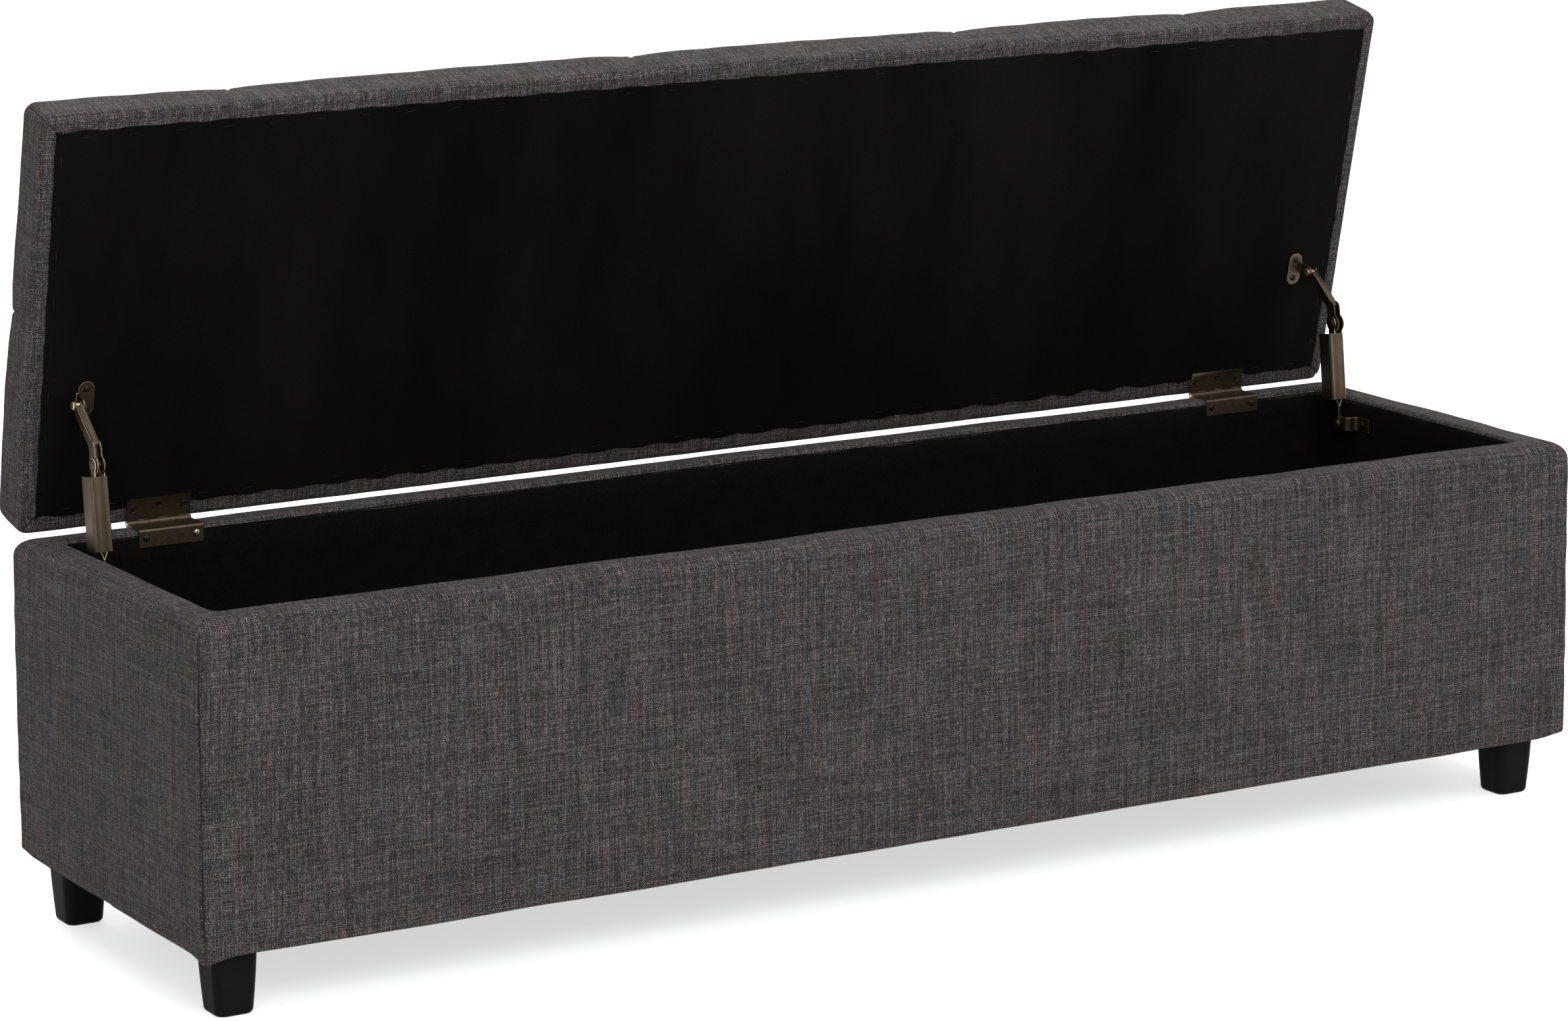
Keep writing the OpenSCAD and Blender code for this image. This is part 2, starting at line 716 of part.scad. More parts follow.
module stay_foot_rivet_right() color("#8a6d40") stay_foot_rivet(RIGHT);

// Quarter ring of the bracket's strap, from angle a to a + 90
module strap_bend(c, a) translate(c) rotate(a) intersection() {
    difference() {
        circle(5.8);
        circle(5.8 - 1.6);
    }
    square(6);
}

// Strap seen from above: tab beside the blade, turn outwards, turn along the wall
module strap_plan() {
    tab = strip_t + 0.4;
    wall = half_l - wall_t - stay_x;
    turn_y = -9;
    translate([tab, turn_y]) square([1.6, 9 + 8]);
    strap_bend([tab + 5.8, turn_y], 180);
    translate([tab + 5.8, turn_y - 5.8]) square([wall - tab - 11.6, 1.6]);
    strap_bend([wall - 5.8, turn_y - 5.8 - 4.2], 0);
    translate([wall - 1.6, turn_y - 26]) square([1.6, 16]);
}

module stay_base_bracket(side) on_box() difference() {
    on_side(side) union() {
        translate([stay_x, hinge_y + foot_pivot.x, hinge_z + foot_pivot.y - 7]) linear_extrude(14) strap_plan();
        translate([stay_x + strip_t + 2, hinge_y + foot_pivot.x, hinge_z + foot_pivot.y])
            rotate([0, 90, 0]) cylinder(r1 = 4.2, r2 = 3, h = 1.2);
    }
    stay_base_screws_solid();
}

module stay_base_bracket_left() color("#6b5433") stay_base_bracket(LEFT);

module stay_base_bracket_right() color("#6b5433") stay_base_bracket(RIGHT);

module stay_base_screws() color("#2b2622") on_box() stay_base_screws_solid();

module stay_lid_screws() color("#2b2622") on_lid() stay_lid_screws_solid();

bottom_board();
front_panel();
back_panel();
left_end_panel();
right_end_panel();
front_foam();
back_foam();
left_foam();
right_foam();
body_cover();
body_lining();
bottom_dust_cover();
bottom_staples();
panel_screws();
foot_front_left();
foot_front_right();
foot_back_left();
foot_back_right();
foot_bolts();
tee_nuts();
hinge_lower_leaf_left();
hinge_lower_leaf_right();
hinge_pin_left();
hinge_pin_right();
hinge_lower_screws();
stay_base_bracket_left();
stay_base_bracket_right();
stay_base_screws();
lid_board();
lid_foam();
lid_cover();
lid_buttons();
button_ties();
lid_dust_cover();
lid_staples();
hinge_upper_leaf_left();
hinge_upper_leaf_right();
hinge_upper_screws();
stay_lid_bracket_left();
stay_lid_bracket_right();
stay_lid_screws();
stay_lid_rivet_left();
stay_lid_rivet_right();
stay_upper_arm_left();
stay_upper_arm_right();
stay_lower_arm_left();
stay_lower_arm_right();
stay_cover_left();
stay_cover_right();
stay_spring_left();
stay_spring_right();
stay_knee_rivet_left();
stay_knee_rivet_right();
stay_foot_rivet_left();
stay_foot_rivet_right();
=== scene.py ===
"""Dresses the frame of an upholstered storage bench: cloth, foam, felt, metalwork and studio."""

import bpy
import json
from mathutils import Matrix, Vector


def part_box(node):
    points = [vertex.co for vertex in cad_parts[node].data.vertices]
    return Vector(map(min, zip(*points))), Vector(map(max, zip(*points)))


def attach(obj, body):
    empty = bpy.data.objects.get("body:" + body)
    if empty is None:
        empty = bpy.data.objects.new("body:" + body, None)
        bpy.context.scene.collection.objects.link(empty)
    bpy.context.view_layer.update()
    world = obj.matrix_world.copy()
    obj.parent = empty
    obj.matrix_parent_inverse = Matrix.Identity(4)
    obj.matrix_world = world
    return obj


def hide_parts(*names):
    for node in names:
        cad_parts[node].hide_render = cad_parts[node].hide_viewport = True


bl_info = {
    "name": "Storage Bench Dresser",
    "version": (1, 0, 0),
    "blender": (4, 5, 0),
    "location": "3D View > Sidebar > Bench",
    "description": "Builds the upholstery, linings, feet and metalwork of a lift-lid storage bench",
    "category": "Object",
}

import json
import math

import bmesh
import bpy
import numpy as np
from mathutils import Matrix, Vector

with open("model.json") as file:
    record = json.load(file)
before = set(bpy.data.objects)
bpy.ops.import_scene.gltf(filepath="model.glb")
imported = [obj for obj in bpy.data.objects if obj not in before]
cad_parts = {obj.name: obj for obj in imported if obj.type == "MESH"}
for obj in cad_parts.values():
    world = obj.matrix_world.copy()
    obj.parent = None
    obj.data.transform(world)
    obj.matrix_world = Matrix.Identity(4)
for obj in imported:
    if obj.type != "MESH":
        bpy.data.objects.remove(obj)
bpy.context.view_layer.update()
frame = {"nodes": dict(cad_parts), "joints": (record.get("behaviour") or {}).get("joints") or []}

MM = 0.001
SIDES = {"left": -1, "right": 1}

# The box, in millimetres
BODY_LOW, BODY_HIGH = (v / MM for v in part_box("body_cover"))
HALF_L = (BODY_HIGH.x - BODY_LOW.x) / 2
HALF_D = (BODY_HIGH.y - BODY_LOW.y) / 2
MID_Y = (BODY_HIGH.y + BODY_LOW.y) / 2
BASE_Z, RIM_Z = BODY_LOW.z, BODY_HIGH.z
WALL = 36  # lining, board, foam and cloth together
PANEL = 18  # the board in it
RIM_R = 16  # outer roll of the rim
RIM_IN_R = 5  # inner roll of the rim
CLOTH = 1.5
LINING_LOW, LINING_HIGH = (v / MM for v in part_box("body_lining"))
LINING_T = 2
NET_T = 0.8
FOOT_INSET = 40  # a foot's middle, from the sides of the box

# The hinge axis, and the lid in millimetres from it while closed
PIN_LOW, PIN_HIGH = (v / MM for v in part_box("hinge_pin_left"))
AXIS = np.array([0, (PIN_LOW.y + PIN_HIGH.y) / 2, (PIN_LOW.z + PIN_HIGH.z) / 2])
LID_ANGLE = math.radians(next(j for j in frame["joints"] if j["name"] == "lid_hinge")["range_deg"][1])
LID_X = (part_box("lid_cover")[1].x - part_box("lid_cover")[0].x) / 2 / MM
LID_Y = 204  # half its depth, which is also how far its middle lies from the axis
LID_GAP = 3  # its underside above the axis
LID_Z0 = LID_GAP + NET_T
LID_Z1 = LID_Z0 + 63
LID_R = 18  # roll of its upper edge
LID_EDGE_R = 6  # roll of its lower edge
LID_PLAN_R = 12  # its corners, seen from above
LID_BORDER = 15  # cloth that shows round the dust cloth
LID_LIP = 35  # cloth turned in underneath
BOARD_TOP = LID_Z0 + CLOTH + 15

# Buttons of the lid, from the middle of its top, and where the pleats from the outer rows end
PITCH = 330
ROW = 100
BUTTON_R = 12.5
WELL = 9.5  # how deep the cloth is drawn in round a button
OUTER_ROW, MIDDLE_ROW = (-1.5, -0.5, 0.5, 1.5), (-2, -1, 0, 1, 2)
BUTTON_ROWS = {-1: OUTER_ROW, 0: MIDDLE_ROW, 1: OUTER_ROW}
BUTTONS = [(k * PITCH, row * ROW) for row, steps in BUTTON_ROWS.items() for k in steps]
FRONT_PLEATS = {-1.5: -540, -0.5: -115, 0.5: 252, 1.5: 530}
BACK_PLEATS = {-1.5: -508, -0.5: -148, 0.5: 181, 1.5: 484}

# The stays: the foot of a leaning spring cover and the lower pivot, in the Y-Z plane from the hinge axis
STAY_X = 698
COVER_FOOT = (-83, -2.5)
COVER_LEAN = math.radians(6.7)
COVER_D = 19.5
SPRING_R = 3.4  # outside of the coil
SPRING_WIRE = 0.9  # half the wire's thickness
SPRING_TURNS = 24
STAY_PIVOT = (-87, -27.5)
STRIP_T = 1.2

# The hinges: their axis lies behind the inner face of the back wall
HINGE_X = 604
HINGE_BACK = 28
KNUCKLE_R = 3
LEAF_T = 1.5
LEAF_SCREW_X = 25.5  # outer screws of a leaf, from its middle

# Staples, in from the edge of the lid's dust cloth and from the sides of the box
LID_STAPLE_PITCH = 46
LID_STAPLE_IN = 7
BOX_STAPLE_PITCH = 62
BOX_STAPLE_IN = 17

# The weave, in millimetres of flat cloth, and how far apart the walls' cloths are laid out
THREAD = 1.15
LONG_SLUB = 60.0
SHORT_SLUB = 8.5
WALL_APART = 2600.0

# Warm and cool tints of the weave: patches to the metre each way, where the noise starts, and strength
TINTS = (((95.0, 7.0, 0.0), 1.3, 0.60), ((11.0, 70.0, 0.0), 5.9, 0.34), ((30.0, 26.0, 0.0), 8.1, 0.26))

# The studio: its softboxes by place, aim, width and height in metres, and watts
ROOM_LIGHT = 0.62
FLOOR_REACH = 14.0
LAMPS = (("key_softbox", (-1.0, -3.5, 2.9), (0, 0, 0.4), 2.6, 1.8, 66),
         ("top_softbox", (0.4, -0.6, 3.4), (0, 0, 0.3), 3.2, 2.0, 44),
         ("side_softbox", (3.4, -1.8, 1.8), (0.2, 0, 0.4), 1.8, 1.8, 16),
         ("back_softbox", (0.6, 3.8, 2.4), (0, 0, 0.4), 2.6, 1.8, 75))


# ---- properties ----

class BenchSizes(bpy.types.PropertyGroup):
    seam_depth: bpy.props.FloatProperty(
        name="Seam Depth", description="How deep the corner seams lie", default=1.3 * MM, unit="LENGTH")
    wall_fullness: bpy.props.FloatProperty(
        name="Wall Fullness", description="How far the padded walls stand proud", default=0.9 * MM,
        unit="LENGTH")
    valley: bpy.props.FloatProperty(
        name="Fold Depth", description="Depth of the folds between buttons", default=6.5 * MM, unit="LENGTH")
    crown: bpy.props.FloatProperty(
        name="Crown", description="Rise of the lid's padding between folds", default=5.0 * MM, unit="LENGTH")
    # The broken edges take the bright edge colour of the metalwork, partly wear and partly painted highlight.
    edge_break: bpy.props.FloatProperty(
        name="Edge Break", description="Width of the worn edges of the metalwork", default=0.55 * MM,
        unit="LENGTH")
    staple_turn: bpy.props.FloatProperty(
        name="Staple Turn", description="How far a staple may stand askew", default=0.12, subtype="ANGLE")


class BenchColours(bpy.types.PropertyGroup):
    thread_dark: bpy.props.FloatVectorProperty(
        name="Dark Thread", description="Ground threads of the weave",
        default=(0.0105, 0.0094, 0.0096), size=3, subtype="COLOR")
    thread_mid: bpy.props.FloatVectorProperty(
        name="Middle Thread", description="Body of the weave",
        default=(0.042, 0.0372, 0.0370), size=3, subtype="COLOR")
    thread_light: bpy.props.FloatVectorProperty(
        name="Light Thread", description="Slubs of the weave",
        default=(0.225, 0.201, 0.197), size=3, subtype="COLOR")
    felt: bpy.props.FloatVectorProperty(
        name="Felt", description="Lining of the box",
        default=(0.0036, 0.0033, 0.0028), size=3, subtype="COLOR")
    net: bpy.props.FloatVectorProperty(
        name="Dust Cloth", description="Cloth under the lid and the box",
        default=(0.0027, 0.0026, 0.0022), size=3, subtype="COLOR")
    brass: bpy.props.FloatVectorProperty(
        name="Antique Brass", description="Plated metalwork",
        default=(0.088, 0.068, 0.044), size=3, subtype="COLOR")
    # Edge colour of the metalwork: partly wear, partly painted highlight.
    worn_and_highlit_brass: bpy.props.FloatVectorProperty(
        name="Worn Brass", description="Edges of the metalwork",
        default=(0.66, 0.51, 0.31), size=3, subtype="COLOR")


def sizes():
    """The sizes set in the panel."""
    return bpy.context.scene.bench_sizes


def colours():
    """The colours set in the panel."""
    return bpy.context.scene.bench_colours


# ---- materials ----

class Graph:
    """A material's node tree with short ways to add to it."""

    def __init__(self, name):
        self.material = bpy.data.materials.new(name)
        self.material.use_nodes = True
        self.tree = self.material.node_tree
        self.tree.nodes.clear()

    def add(self, kind, inputs=None, **settings):
        node = self.tree.nodes.new(kind)
        for key, value in settings.items():
            setattr(node, key, value)
        for key, value in (inputs or {}).items():
            socket = node.inputs[key]
            if isinstance(value, bpy.types.NodeSocket):
                self.tree.links.new(value, socket)
            else:
                socket.default_value = value
        return node

    def math(self, operation, a, b=0.0, clamp=False):
        return self.add("ShaderNodeMath", {0: a, 1: b}, operation=operation, use_clamp=clamp).outputs[0]

    def scaled(self, vector, factors):
        return self.add("ShaderNodeVectorMath", {0: vector, 1: factors}, operation="MULTIPLY").outputs[0]

    def moved(self, vector, shift):
        return self.add("ShaderNodeVectorMath", {0: vector, 1: shift}).outputs[0]

    def noise(self, vector, scale=1.0, detail=2.0, rough=0.5):
        return self.add("ShaderNodeTexNoise", {"Vector": vector, "Scale": scale, "Detail": detail,
                                               "Roughness": rough}).outputs["Fac"]

    def between(self, value, low, high, out_low=0.0, out_high=1.0):
        return self.add("ShaderNodeMapRange", {"Value": value, "From Min": low, "From Max": high,
                                               "To Min": out_low, "To Max": out_high}).outputs["Result"]

    def mix(self, factor, a, b, blend="MIX"):
        node = self.add("ShaderNodeMix", data_type="RGBA", blend_type=blend)
        for key, value in (("Factor_Float", factor), ("A_Color", a), ("B_Color", b)):
            socket = next(s for s in node.inputs if s.identifier == key)
            if isinstance(value, bpy.types.NodeSocket):
                self.tree.links.new(value, socket)
            else:
                socket.default_value = value if key == "Factor_Float" else (*value, 1.0)[:4]
        return next(s for s in node.outputs if s.identifier == "Result_Color")

    def ramp(self, value, stops):
        node = self.add("ShaderNodeValToRGB", {0: value})
        node.color_ramp.elements[0].position, node.color_ramp.elements[1].position = stops[0][0], stops[-1][0]
        node.color_ramp.elements[0].color = (*stops[0][1], 1.0)
        node.color_ramp.elements[1].color = (*stops[-1][1], 1.0)
        for position, colour in stops[1:-1]:
            node.color_ramp.elements.new(position).color = (*colour, 1.0)
        return node.outputs["Color"]

    def bump(self, height, strength, distance):
        return self.add("ShaderNodeBump", {"Height": height, "Strength": strength,
                                           "Distance": distance}).outputs["Normal"]

    def finish(self, **inputs):
        shader = self.add("ShaderNodeBsdfPrincipled", {k.replace("_", " "): v for k, v in inputs.items()})
        output = self.add("ShaderNodeOutputMaterial")
        self.tree.links.new(shader.outputs[0], output.inputs["Surface"])
        return self.material


def rgb(colour):
    return tuple(colour)[:3]


def times(colour, factor):
    return tuple(factor * x for x in colour)


def grey(value):
    return (value, value, value)


def upholstery():
    """Linen-look weave of dark ground threads and lighter slubs, laid out on the piece's own flat cloth."""
    g = Graph("upholstery_weave")
    c = colours()
    uv = g.add("ShaderNodeUVMap", uv_map="cloth").outputs[0]
    cloth = g.scaled(uv, (1000.0, 1000.0, 0.0))
    split = g.add("ShaderNodeSeparateXYZ", {0: cloth})

    def threads(long_way, seed, low, high):
        """Brightness of one set of threads: even along a thread, different from thread to thread."""
        def streaks(length, moved, detail):
            size = (1 / THREAD, 1 / length, 0.0) if long_way else (1 / length, 1 / THREAD, 0.0)
            at = g.moved(g.scaled(cloth, size), (moved, 2 * moved, moved))
            return g.between(g.noise(at, 1.0, detail), 0.28, 0.72)

        long_part = g.math("MULTIPLY", streaks(LONG_SLUB, seed, 0.0), 0.42)
        short_part = g.math("MULTIPLY", streaks(SHORT_SLUB, 3 * seed, 1.0), 0.58)
        return g.between(g.math("ADD", long_part, short_part), 0.0, 1.0, low, high)

    warp, weft = threads(True, 3.7, 0.04, 0.98), threads(False, 11.3, 0.12, 0.86)
    turn = math.pi / THREAD
    over = g.math("MULTIPLY", g.math("SINE", g.math("MULTIPLY", split.outputs[0], turn)),
                  g.math("SINE", g.math("MULTIPLY", split.outputs[1], turn)))
    top = g.between(over, -0.3, 0.3)
    value = g.add("ShaderNodeMix", {0: top, 2: warp, 3: weft}, data_type="FLOAT").outputs[0]
    relief = g.math("ABSOLUTE", over)
    grit = g.noise(g.scaled(uv, (760.0, 820.0, 0.0)), 1.0, 2.0, 0.7)
    value = g.math("MULTIPLY", value, g.between(grit, 0.30, 0.70, 0.40, 1.60))
    # Painted shade and light: the weave is darker in the gaps between threads and lighter on their tops.
    value = g.math("MULTIPLY", value, g.between(relief, 0.0, 0.8, 0.78, 1.12), clamp=True)
    tones = [(0.10, rgb(c.thread_dark)), (0.50, rgb(c.thread_mid)), (0.95, rgb(c.thread_light))]
    weave = g.ramp(value, tones)
    for size, start, spread in TINTS:
        at = g.moved(g.scaled(uv, size), grey(start))
        cool = tuple(1 + spread * x for x in (-0.11, -0.045, 0.02))
        warm = tuple(1 + spread * x for x in (0.10, 0.01, -0.06))
        tint = g.ramp(g.noise(at, 1.0, 2.0, 0.55), [(0.32, cool), (0.5, (1.0, 1.0, 1.0)), (0.68, warm)])
        weave = g.mix(1.0, weave, tint, "MULTIPLY")
    cast = g.noise(g.scaled(uv, (6.0, 9.0, 0.0)), 1.0, 2.0)
    drift = g.ramp(cast, [(0.3, (0.94, 0.945, 0.95)), (0.7, (1.05, 1.045, 1.04))])
    weave = g.mix(1.0, weave, drift, "MULTIPLY")
    # The vertex attribute read here turns the weave near black: the seam lines themselves, and painted shade
    # in their grooves, in the fold creases and round the buttons.
    seam_and_crease_shade = g.add("ShaderNodeAttribute", attribute_name="seam_and_crease_shade").outputs["Fac"]
    weave = g.mix(seam_and_crease_shade, weave, (0.006, 0.0055, 0.0055))
    height = g.math("ADD", g.math("MULTIPLY", relief, 0.6), g.math("MULTIPLY", value, 0.8))
    return g.finish(Base_Color=weave, Roughness=0.93, Specular_IOR_Level=0.07, Sheen_Weight=0.02,
                    Sheen_Roughness=0.5, Normal=g.bump(height, 0.5, 0.00022))


def felt():
    """Black needle felt with short loose fibres."""
    g = Graph("lining_felt")
    place = g.add("ShaderNodeTexCoord").outputs["Object"]
    fibre = g.noise(place, 900.0, 3.0, 0.7)
    lump = g.noise(place, 55.0, 3.0, 0.6)
    base = rgb(colours().felt)
    colour = g.mix(g.between(fibre, 0.35, 0.72), times(base, 0.45), times(base, 2.0))
    colour = g.mix(g.between(lump, 0.35, 0.7, 0.0, 0.35), colour, times(base, 1.9))
    height = g.math("ADD", g.math("MULTIPLY", fibre, 0.4), lump)
    return g.finish(Base_Color=colour, Roughness=0.97, Specular_IOR_Level=0.03, Sheen_Weight=0.012,
                    Sheen_Roughness=0.4, Normal=g.bump(height, 0.5, 0.0009))


def net():
    """Thin black woven dust cloth."""
    g = Graph("dust_cloth")
    uv = g.add("ShaderNodeUVMap", uv_map="cloth").outputs[0]
    split = g.add("ShaderNodeSeparateXYZ", {0: g.scaled(uv, (4200.0, 4200.0, 0.0))})
    grid = g.math("MULTIPLY", g.math("SINE", split.outputs[0]), g.math("SINE", split.outputs[1]))
    slack = g.noise(g.scaled(uv, (11.0, 7.0, 0.0)), 1.0, 4.0, 0.6)
    grain = g.noise(g.scaled(uv, (620.0, 620.0, 0.0)), 1.0, 2.0)
    base = rgb(colours().net)
    colour = g.mix(g.between(grid, -0.6, 0.6), times(base, 0.8), times(base, 1.25))
    colour = g.mix(g.between(grain, 0.5, 0.75, 0.0, 0.5), colour, times(base, 2.2))
    # Painted light and shade of slack wrinkles and their sheen: broad patches of the cloth are made darker
    # and lighter.
    fade = g.noise(g.scaled(uv, (5.0, 1.6, 0.0)), 1.0, 4.0, 0.6)
    colour = g.mix(1.0, colour, g.ramp(fade, [(0.34, grey(0.45)), (0.68, (1.9, 1.9, 1.8))]), "MULTIPLY")
    height = g.math("ADD", g.math("MULTIPLY", grid, 0.15), g.math("MULTIPLY", slack, 3.0))
    return g.finish(Base_Color=colour, Roughness=0.9, Specular_IOR_Level=0.044,
                    Normal=g.bump(height, 0.6, 0.0012))


def brass(name, highlit_worn_edge):
    """Antique brass plate: dark on its flats; its edge version is bright, partly wear and partly painted
    highlight.
    """
    g = Graph(name)
    place = g.add("ShaderNodeTexCoord").outputs["Object"]
    cloud = g.noise(place, 90.0, 3.0, 0.5)
    speck = g.noise(place, 2400.0, 2.0)
    base = rgb(colours().worn_and_highlit_brass if highlit_worn_edge else colours().brass)
    dark, light = (0.92, 1.05) if highlit_worn_edge else (0.90, 1.08)
    colour = g.mix(g.between(cloud, 0.34, 0.68), times(base, dark), times(base, light))
    colour = g.mix(g.between(speck, 0.66, 0.76, 0.0, 0.16), colour, (0.030, 0.021, 0.014))
    smoothest, dullest = (0.34, 0.44) if highlit_worn_edge else (0.37, 0.47)
    rough = g.between(g.noise(place, 300.0, 3.0), 0.3, 0.7, smoothest, dullest)
    return g.finish(Base_Color=colour, Metallic=1.0, Roughness=rough, Normal=g.bump(speck, 0.06, 0.00005))


def steel(name, colour, rough_low, rough_high):
    """Plain or plated steel with a faint spangle."""
    g = Graph(name)
    place = g.add("ShaderNodeTexCoord").outputs["Object"]
    cloud = g.noise(place, 500.0, 3.0, 0.6)
    shade = g.mix(g.between(cloud, 0.35, 0.68), times(colour, 0.7), times(colour, 1.15))
    rough = g.between(g.noise(place, 1300.0, 2.0), 0.3, 0.7, rough_low, rough_high)
    return g.finish(Base_Color=shade, Metallic=1.0, Roughness=rough, Normal=g.bump(cloud, 0.1, 0.0001))


def foot_plastic():
    """Moulded black plastic with a fine satin grain."""
    g = Graph("foot_moulding")
    place = g.add("ShaderNodeTexCoord").outputs["Object"]
    grain = g.noise(place, 1500.0, 2.0)
    scuff = g.noise(place, 42.0, 4.0, 0.65)
    colour = g.mix(g.between(scuff, 0.45, 0.75), grey(0.0066), grey(0.0096))
    rough = g.between(scuff, 0.3, 0.7, 0.46, 0.60)
    return g.finish(Base_Color=colour, Roughness=rough, Specular_IOR_Level=0.035,
                    Normal=g.bump(grain, 0.25, 0.00012))


def board(name, light, dark, layer):
    """Pale plywood: long grain on the faces, thin layers on the edges."""
    g = Graph(name)
    place = g.add("ShaderNodeTexCoord").outputs["Object"]
    grain = g.noise(g.scaled(place, (9.0, 160.0, 160.0)), 1.0, 5.0, 0.6)
    rings = g.noise(g.scaled(place, (2.2, 26.0, 26.0)), 1.0, 3.0)
    height = g.add("ShaderNodeSeparateXYZ", {0: place}).outputs[2]
    ply = g.math("SINE", g.math("MULTIPLY", height, 2 * math.pi / layer))
    value = g.math("ADD", g.math("MULTIPLY", grain, 0.6), g.math("MULTIPLY", rings, 0.5))
    colour = g.ramp(value, [(0.32, dark), (0.72, light)])
    colour = g.mix(g.between(ply, 0.55, 0.95, 0.0, 0.25), colour, dark)
    return g.finish(Base_Color=colour, Roughness=0.72, Specular_IOR_Level=0.3,
                    Normal=g.bump(grain, 0.2, 0.0003))


def foam():
    """Open-cell foam."""
    g = Graph("pad_foam")
    place = g.add("ShaderNodeTexCoord").outputs["Object"]
    cells = g.add("ShaderNodeTexVoronoi", {"Vector": place, "Scale": 750.0}).outputs["Distance"]
    cloud = g.noise(place, 20.0, 3.0)
    colour = g.mix(g.between(cells, 0.05, 0.6), (0.36, 0.33, 0.22), (0.66, 0.62, 0.46))
    colour = g.mix(g.between(cloud, 0.4, 0.7, 0.0, 0.3), colour, (0.55, 0.50, 0.33))
    return g.finish(Base_Color=colour, Roughness=0.95, Specular_IOR_Level=0.1,
                    Normal=g.bump(cells, 0.6, 0.0006))


def twine():
    """Twisted linen twine."""
    g = Graph("tie_twine")
    place = g.add("ShaderNodeTexCoord").outputs["Object"]
    split = g.add("ShaderNodeSeparateXYZ", {0: place})
    upward = g.math("MULTIPLY", split.outputs[2], 3000.0)
    across = g.math("MULTIPLY", split.outputs[0], 2500.0)
    lay = g.math("ADD", upward, across)
    ply = g.math("SINE", lay)
    fuzz = g.noise(place, 1800.0, 2.0)
    colour = g.mix(g.between(ply, -0.8, 0.8), (0.42, 0.34, 0.22), (0.72, 0.63, 0.47))
    colour = g.mix(g.between(fuzz, 0.4, 0.7, 0.0, 0.4), colour, (0.8, 0.72, 0.58))
    return g.finish(Base_Color=colour, Roughness=0.9, Specular_IOR_Level=0.15,
                    Normal=g.bump(ply, 0.5, 0.0004))


FINISHES = {}


def finish(name):
    """The material of that name, made the first time it is asked for."""
    makers = {
        "upholstery": upholstery, "felt": felt, "net": net, "foot": foot_plastic,
        "foam": foam, "twine": twine,
        "brass": lambda: brass("antique_brass_plate", False),
        # The edge material: bright, partly wear and partly painted highlight.
        "worn_and_highlit_brass": lambda: brass("antique_brass_worn_highlit_edges", True),
        "zinc": lambda: steel("zinc_plate", (0.50, 0.51, 0.53), 0.30, 0.45),
        "staple_wire": lambda: steel("staple_wire", (0.017, 0.016, 0.015), 0.45, 0.6),
        "spring_wire": lambda: steel("spring_wire", (0.26, 0.25, 0.24), 0.25, 0.4),
        "yellow_zinc": lambda: steel("yellow_zinc_plate", (0.62, 0.47, 0.20), 0.28, 0.42),
        "dark_screw": lambda: steel("blackened_screw", (0.030, 0.026, 0.022), 0.30, 0.45),
        "bright_screw": lambda: steel("rubbed_screw", (0.34, 0.31, 0.28), 0.24, 0.36),
        "blade": lambda: steel("stay_blade", (0.064, 0.050, 0.034), 0.3, 0.45),
        "plywood": lambda: board("panel_plywood", (0.62, 0.45, 0.27), (0.40, 0.26, 0.14), 0.003),
        "lid_plywood": lambda: board("lid_plywood", (0.60, 0.44, 0.27), (0.38, 0.25, 0.14), 0.0025),
    }
    if name not in FINISHES:
        FINISHES[name] = makers[name]()
    return FINISHES[name]


# ---- meshes ----

def link(obj):
    bpy.context.scene.collection.objects.link(obj)
    return obj


def new_piece(name, points, faces, materials, uvs=None):
    """A mesh object at the origin. points are in millimetres, uvs one pair for each corner of each face."""
    mesh = bpy.data.meshes.new(name)
    mesh.from_pydata((np.asarray(points, float) * MM).tolist(), [], [list(map(int, f)) for f in faces])
    if uvs is not None:
        layer = mesh.uv_layers.new(name="cloth")
        layer.data.foreach_set("uv", (np.asarray(uvs, np.float32) * MM).ravel())
    for m in materials:
        mesh.materials.append(finish(m))
    mesh.polygons.foreach_set("use_smooth", [True] * len(mesh.polygons))
    mesh.validate()
    mesh.update()
    return link(bpy.data.objects.new(name, mesh))


def points_of(mesh):
    co = np.zeros(len(mesh.vertices) * 3, np.float32)
    mesh.vertices.foreach_get("co", co)
    return co.reshape(-1, 3).astype(float)


def set_points(mesh, co):
    mesh.vertices.foreach_set("co", np.asarray(co, np.float32).ravel())
    mesh.update()


def normals_of(mesh):
    out = np.zeros(len(mesh.vertices) * 3, np.float32)
    mesh.vertex_normals.foreach_get("vector", out)
    return out.reshape(-1, 3).astype(float)


def mark(mesh, name, values):
    mesh.attributes.new(name, "FLOAT", "POINT").data.foreach_set("value", np.asarray(values, np.float32))


def face_out(mesh, fill=False):
    """Turns a mesh's faces outwards, after closing its open ends where asked."""
    b = bmesh.new()
    b.from_mesh(mesh)
    if fill:
        bmesh.ops.holes_fill(b, edges=[e for e in b.edges if e.is_boundary], sides=0)
    bmesh.ops.recalc_face_normals(b, faces=b.faces)
    b.to_mesh(mesh)
    b.free()


def thicken(obj, thickness):
    """Gives a cloth its thickness, on the side away from its face."""
    thick = obj.modifiers.new("Thickness", "SOLIDIFY")
    thick.thickness = thickness * MM
    thick.offset = -1


def grid_faces(across, along):
    """Faces of a grid of points that is seen from below."""
    ids = np.arange(across * along).reshape(along, across)
    corners = (ids[:-1, :-1], ids[1:, :-1], ids[1:, 1:], ids[:-1, 1:])
    return np.column_stack([c.ravel() for c in corners])


def smooth_step(value, low, high):
    """0 up to low, 1 from high, and an easy slope between."""
    t = np.clip((np.asarray(value, float) - low) / (high - low), 0, 1)
    return t * t * (3 - 2 * t)


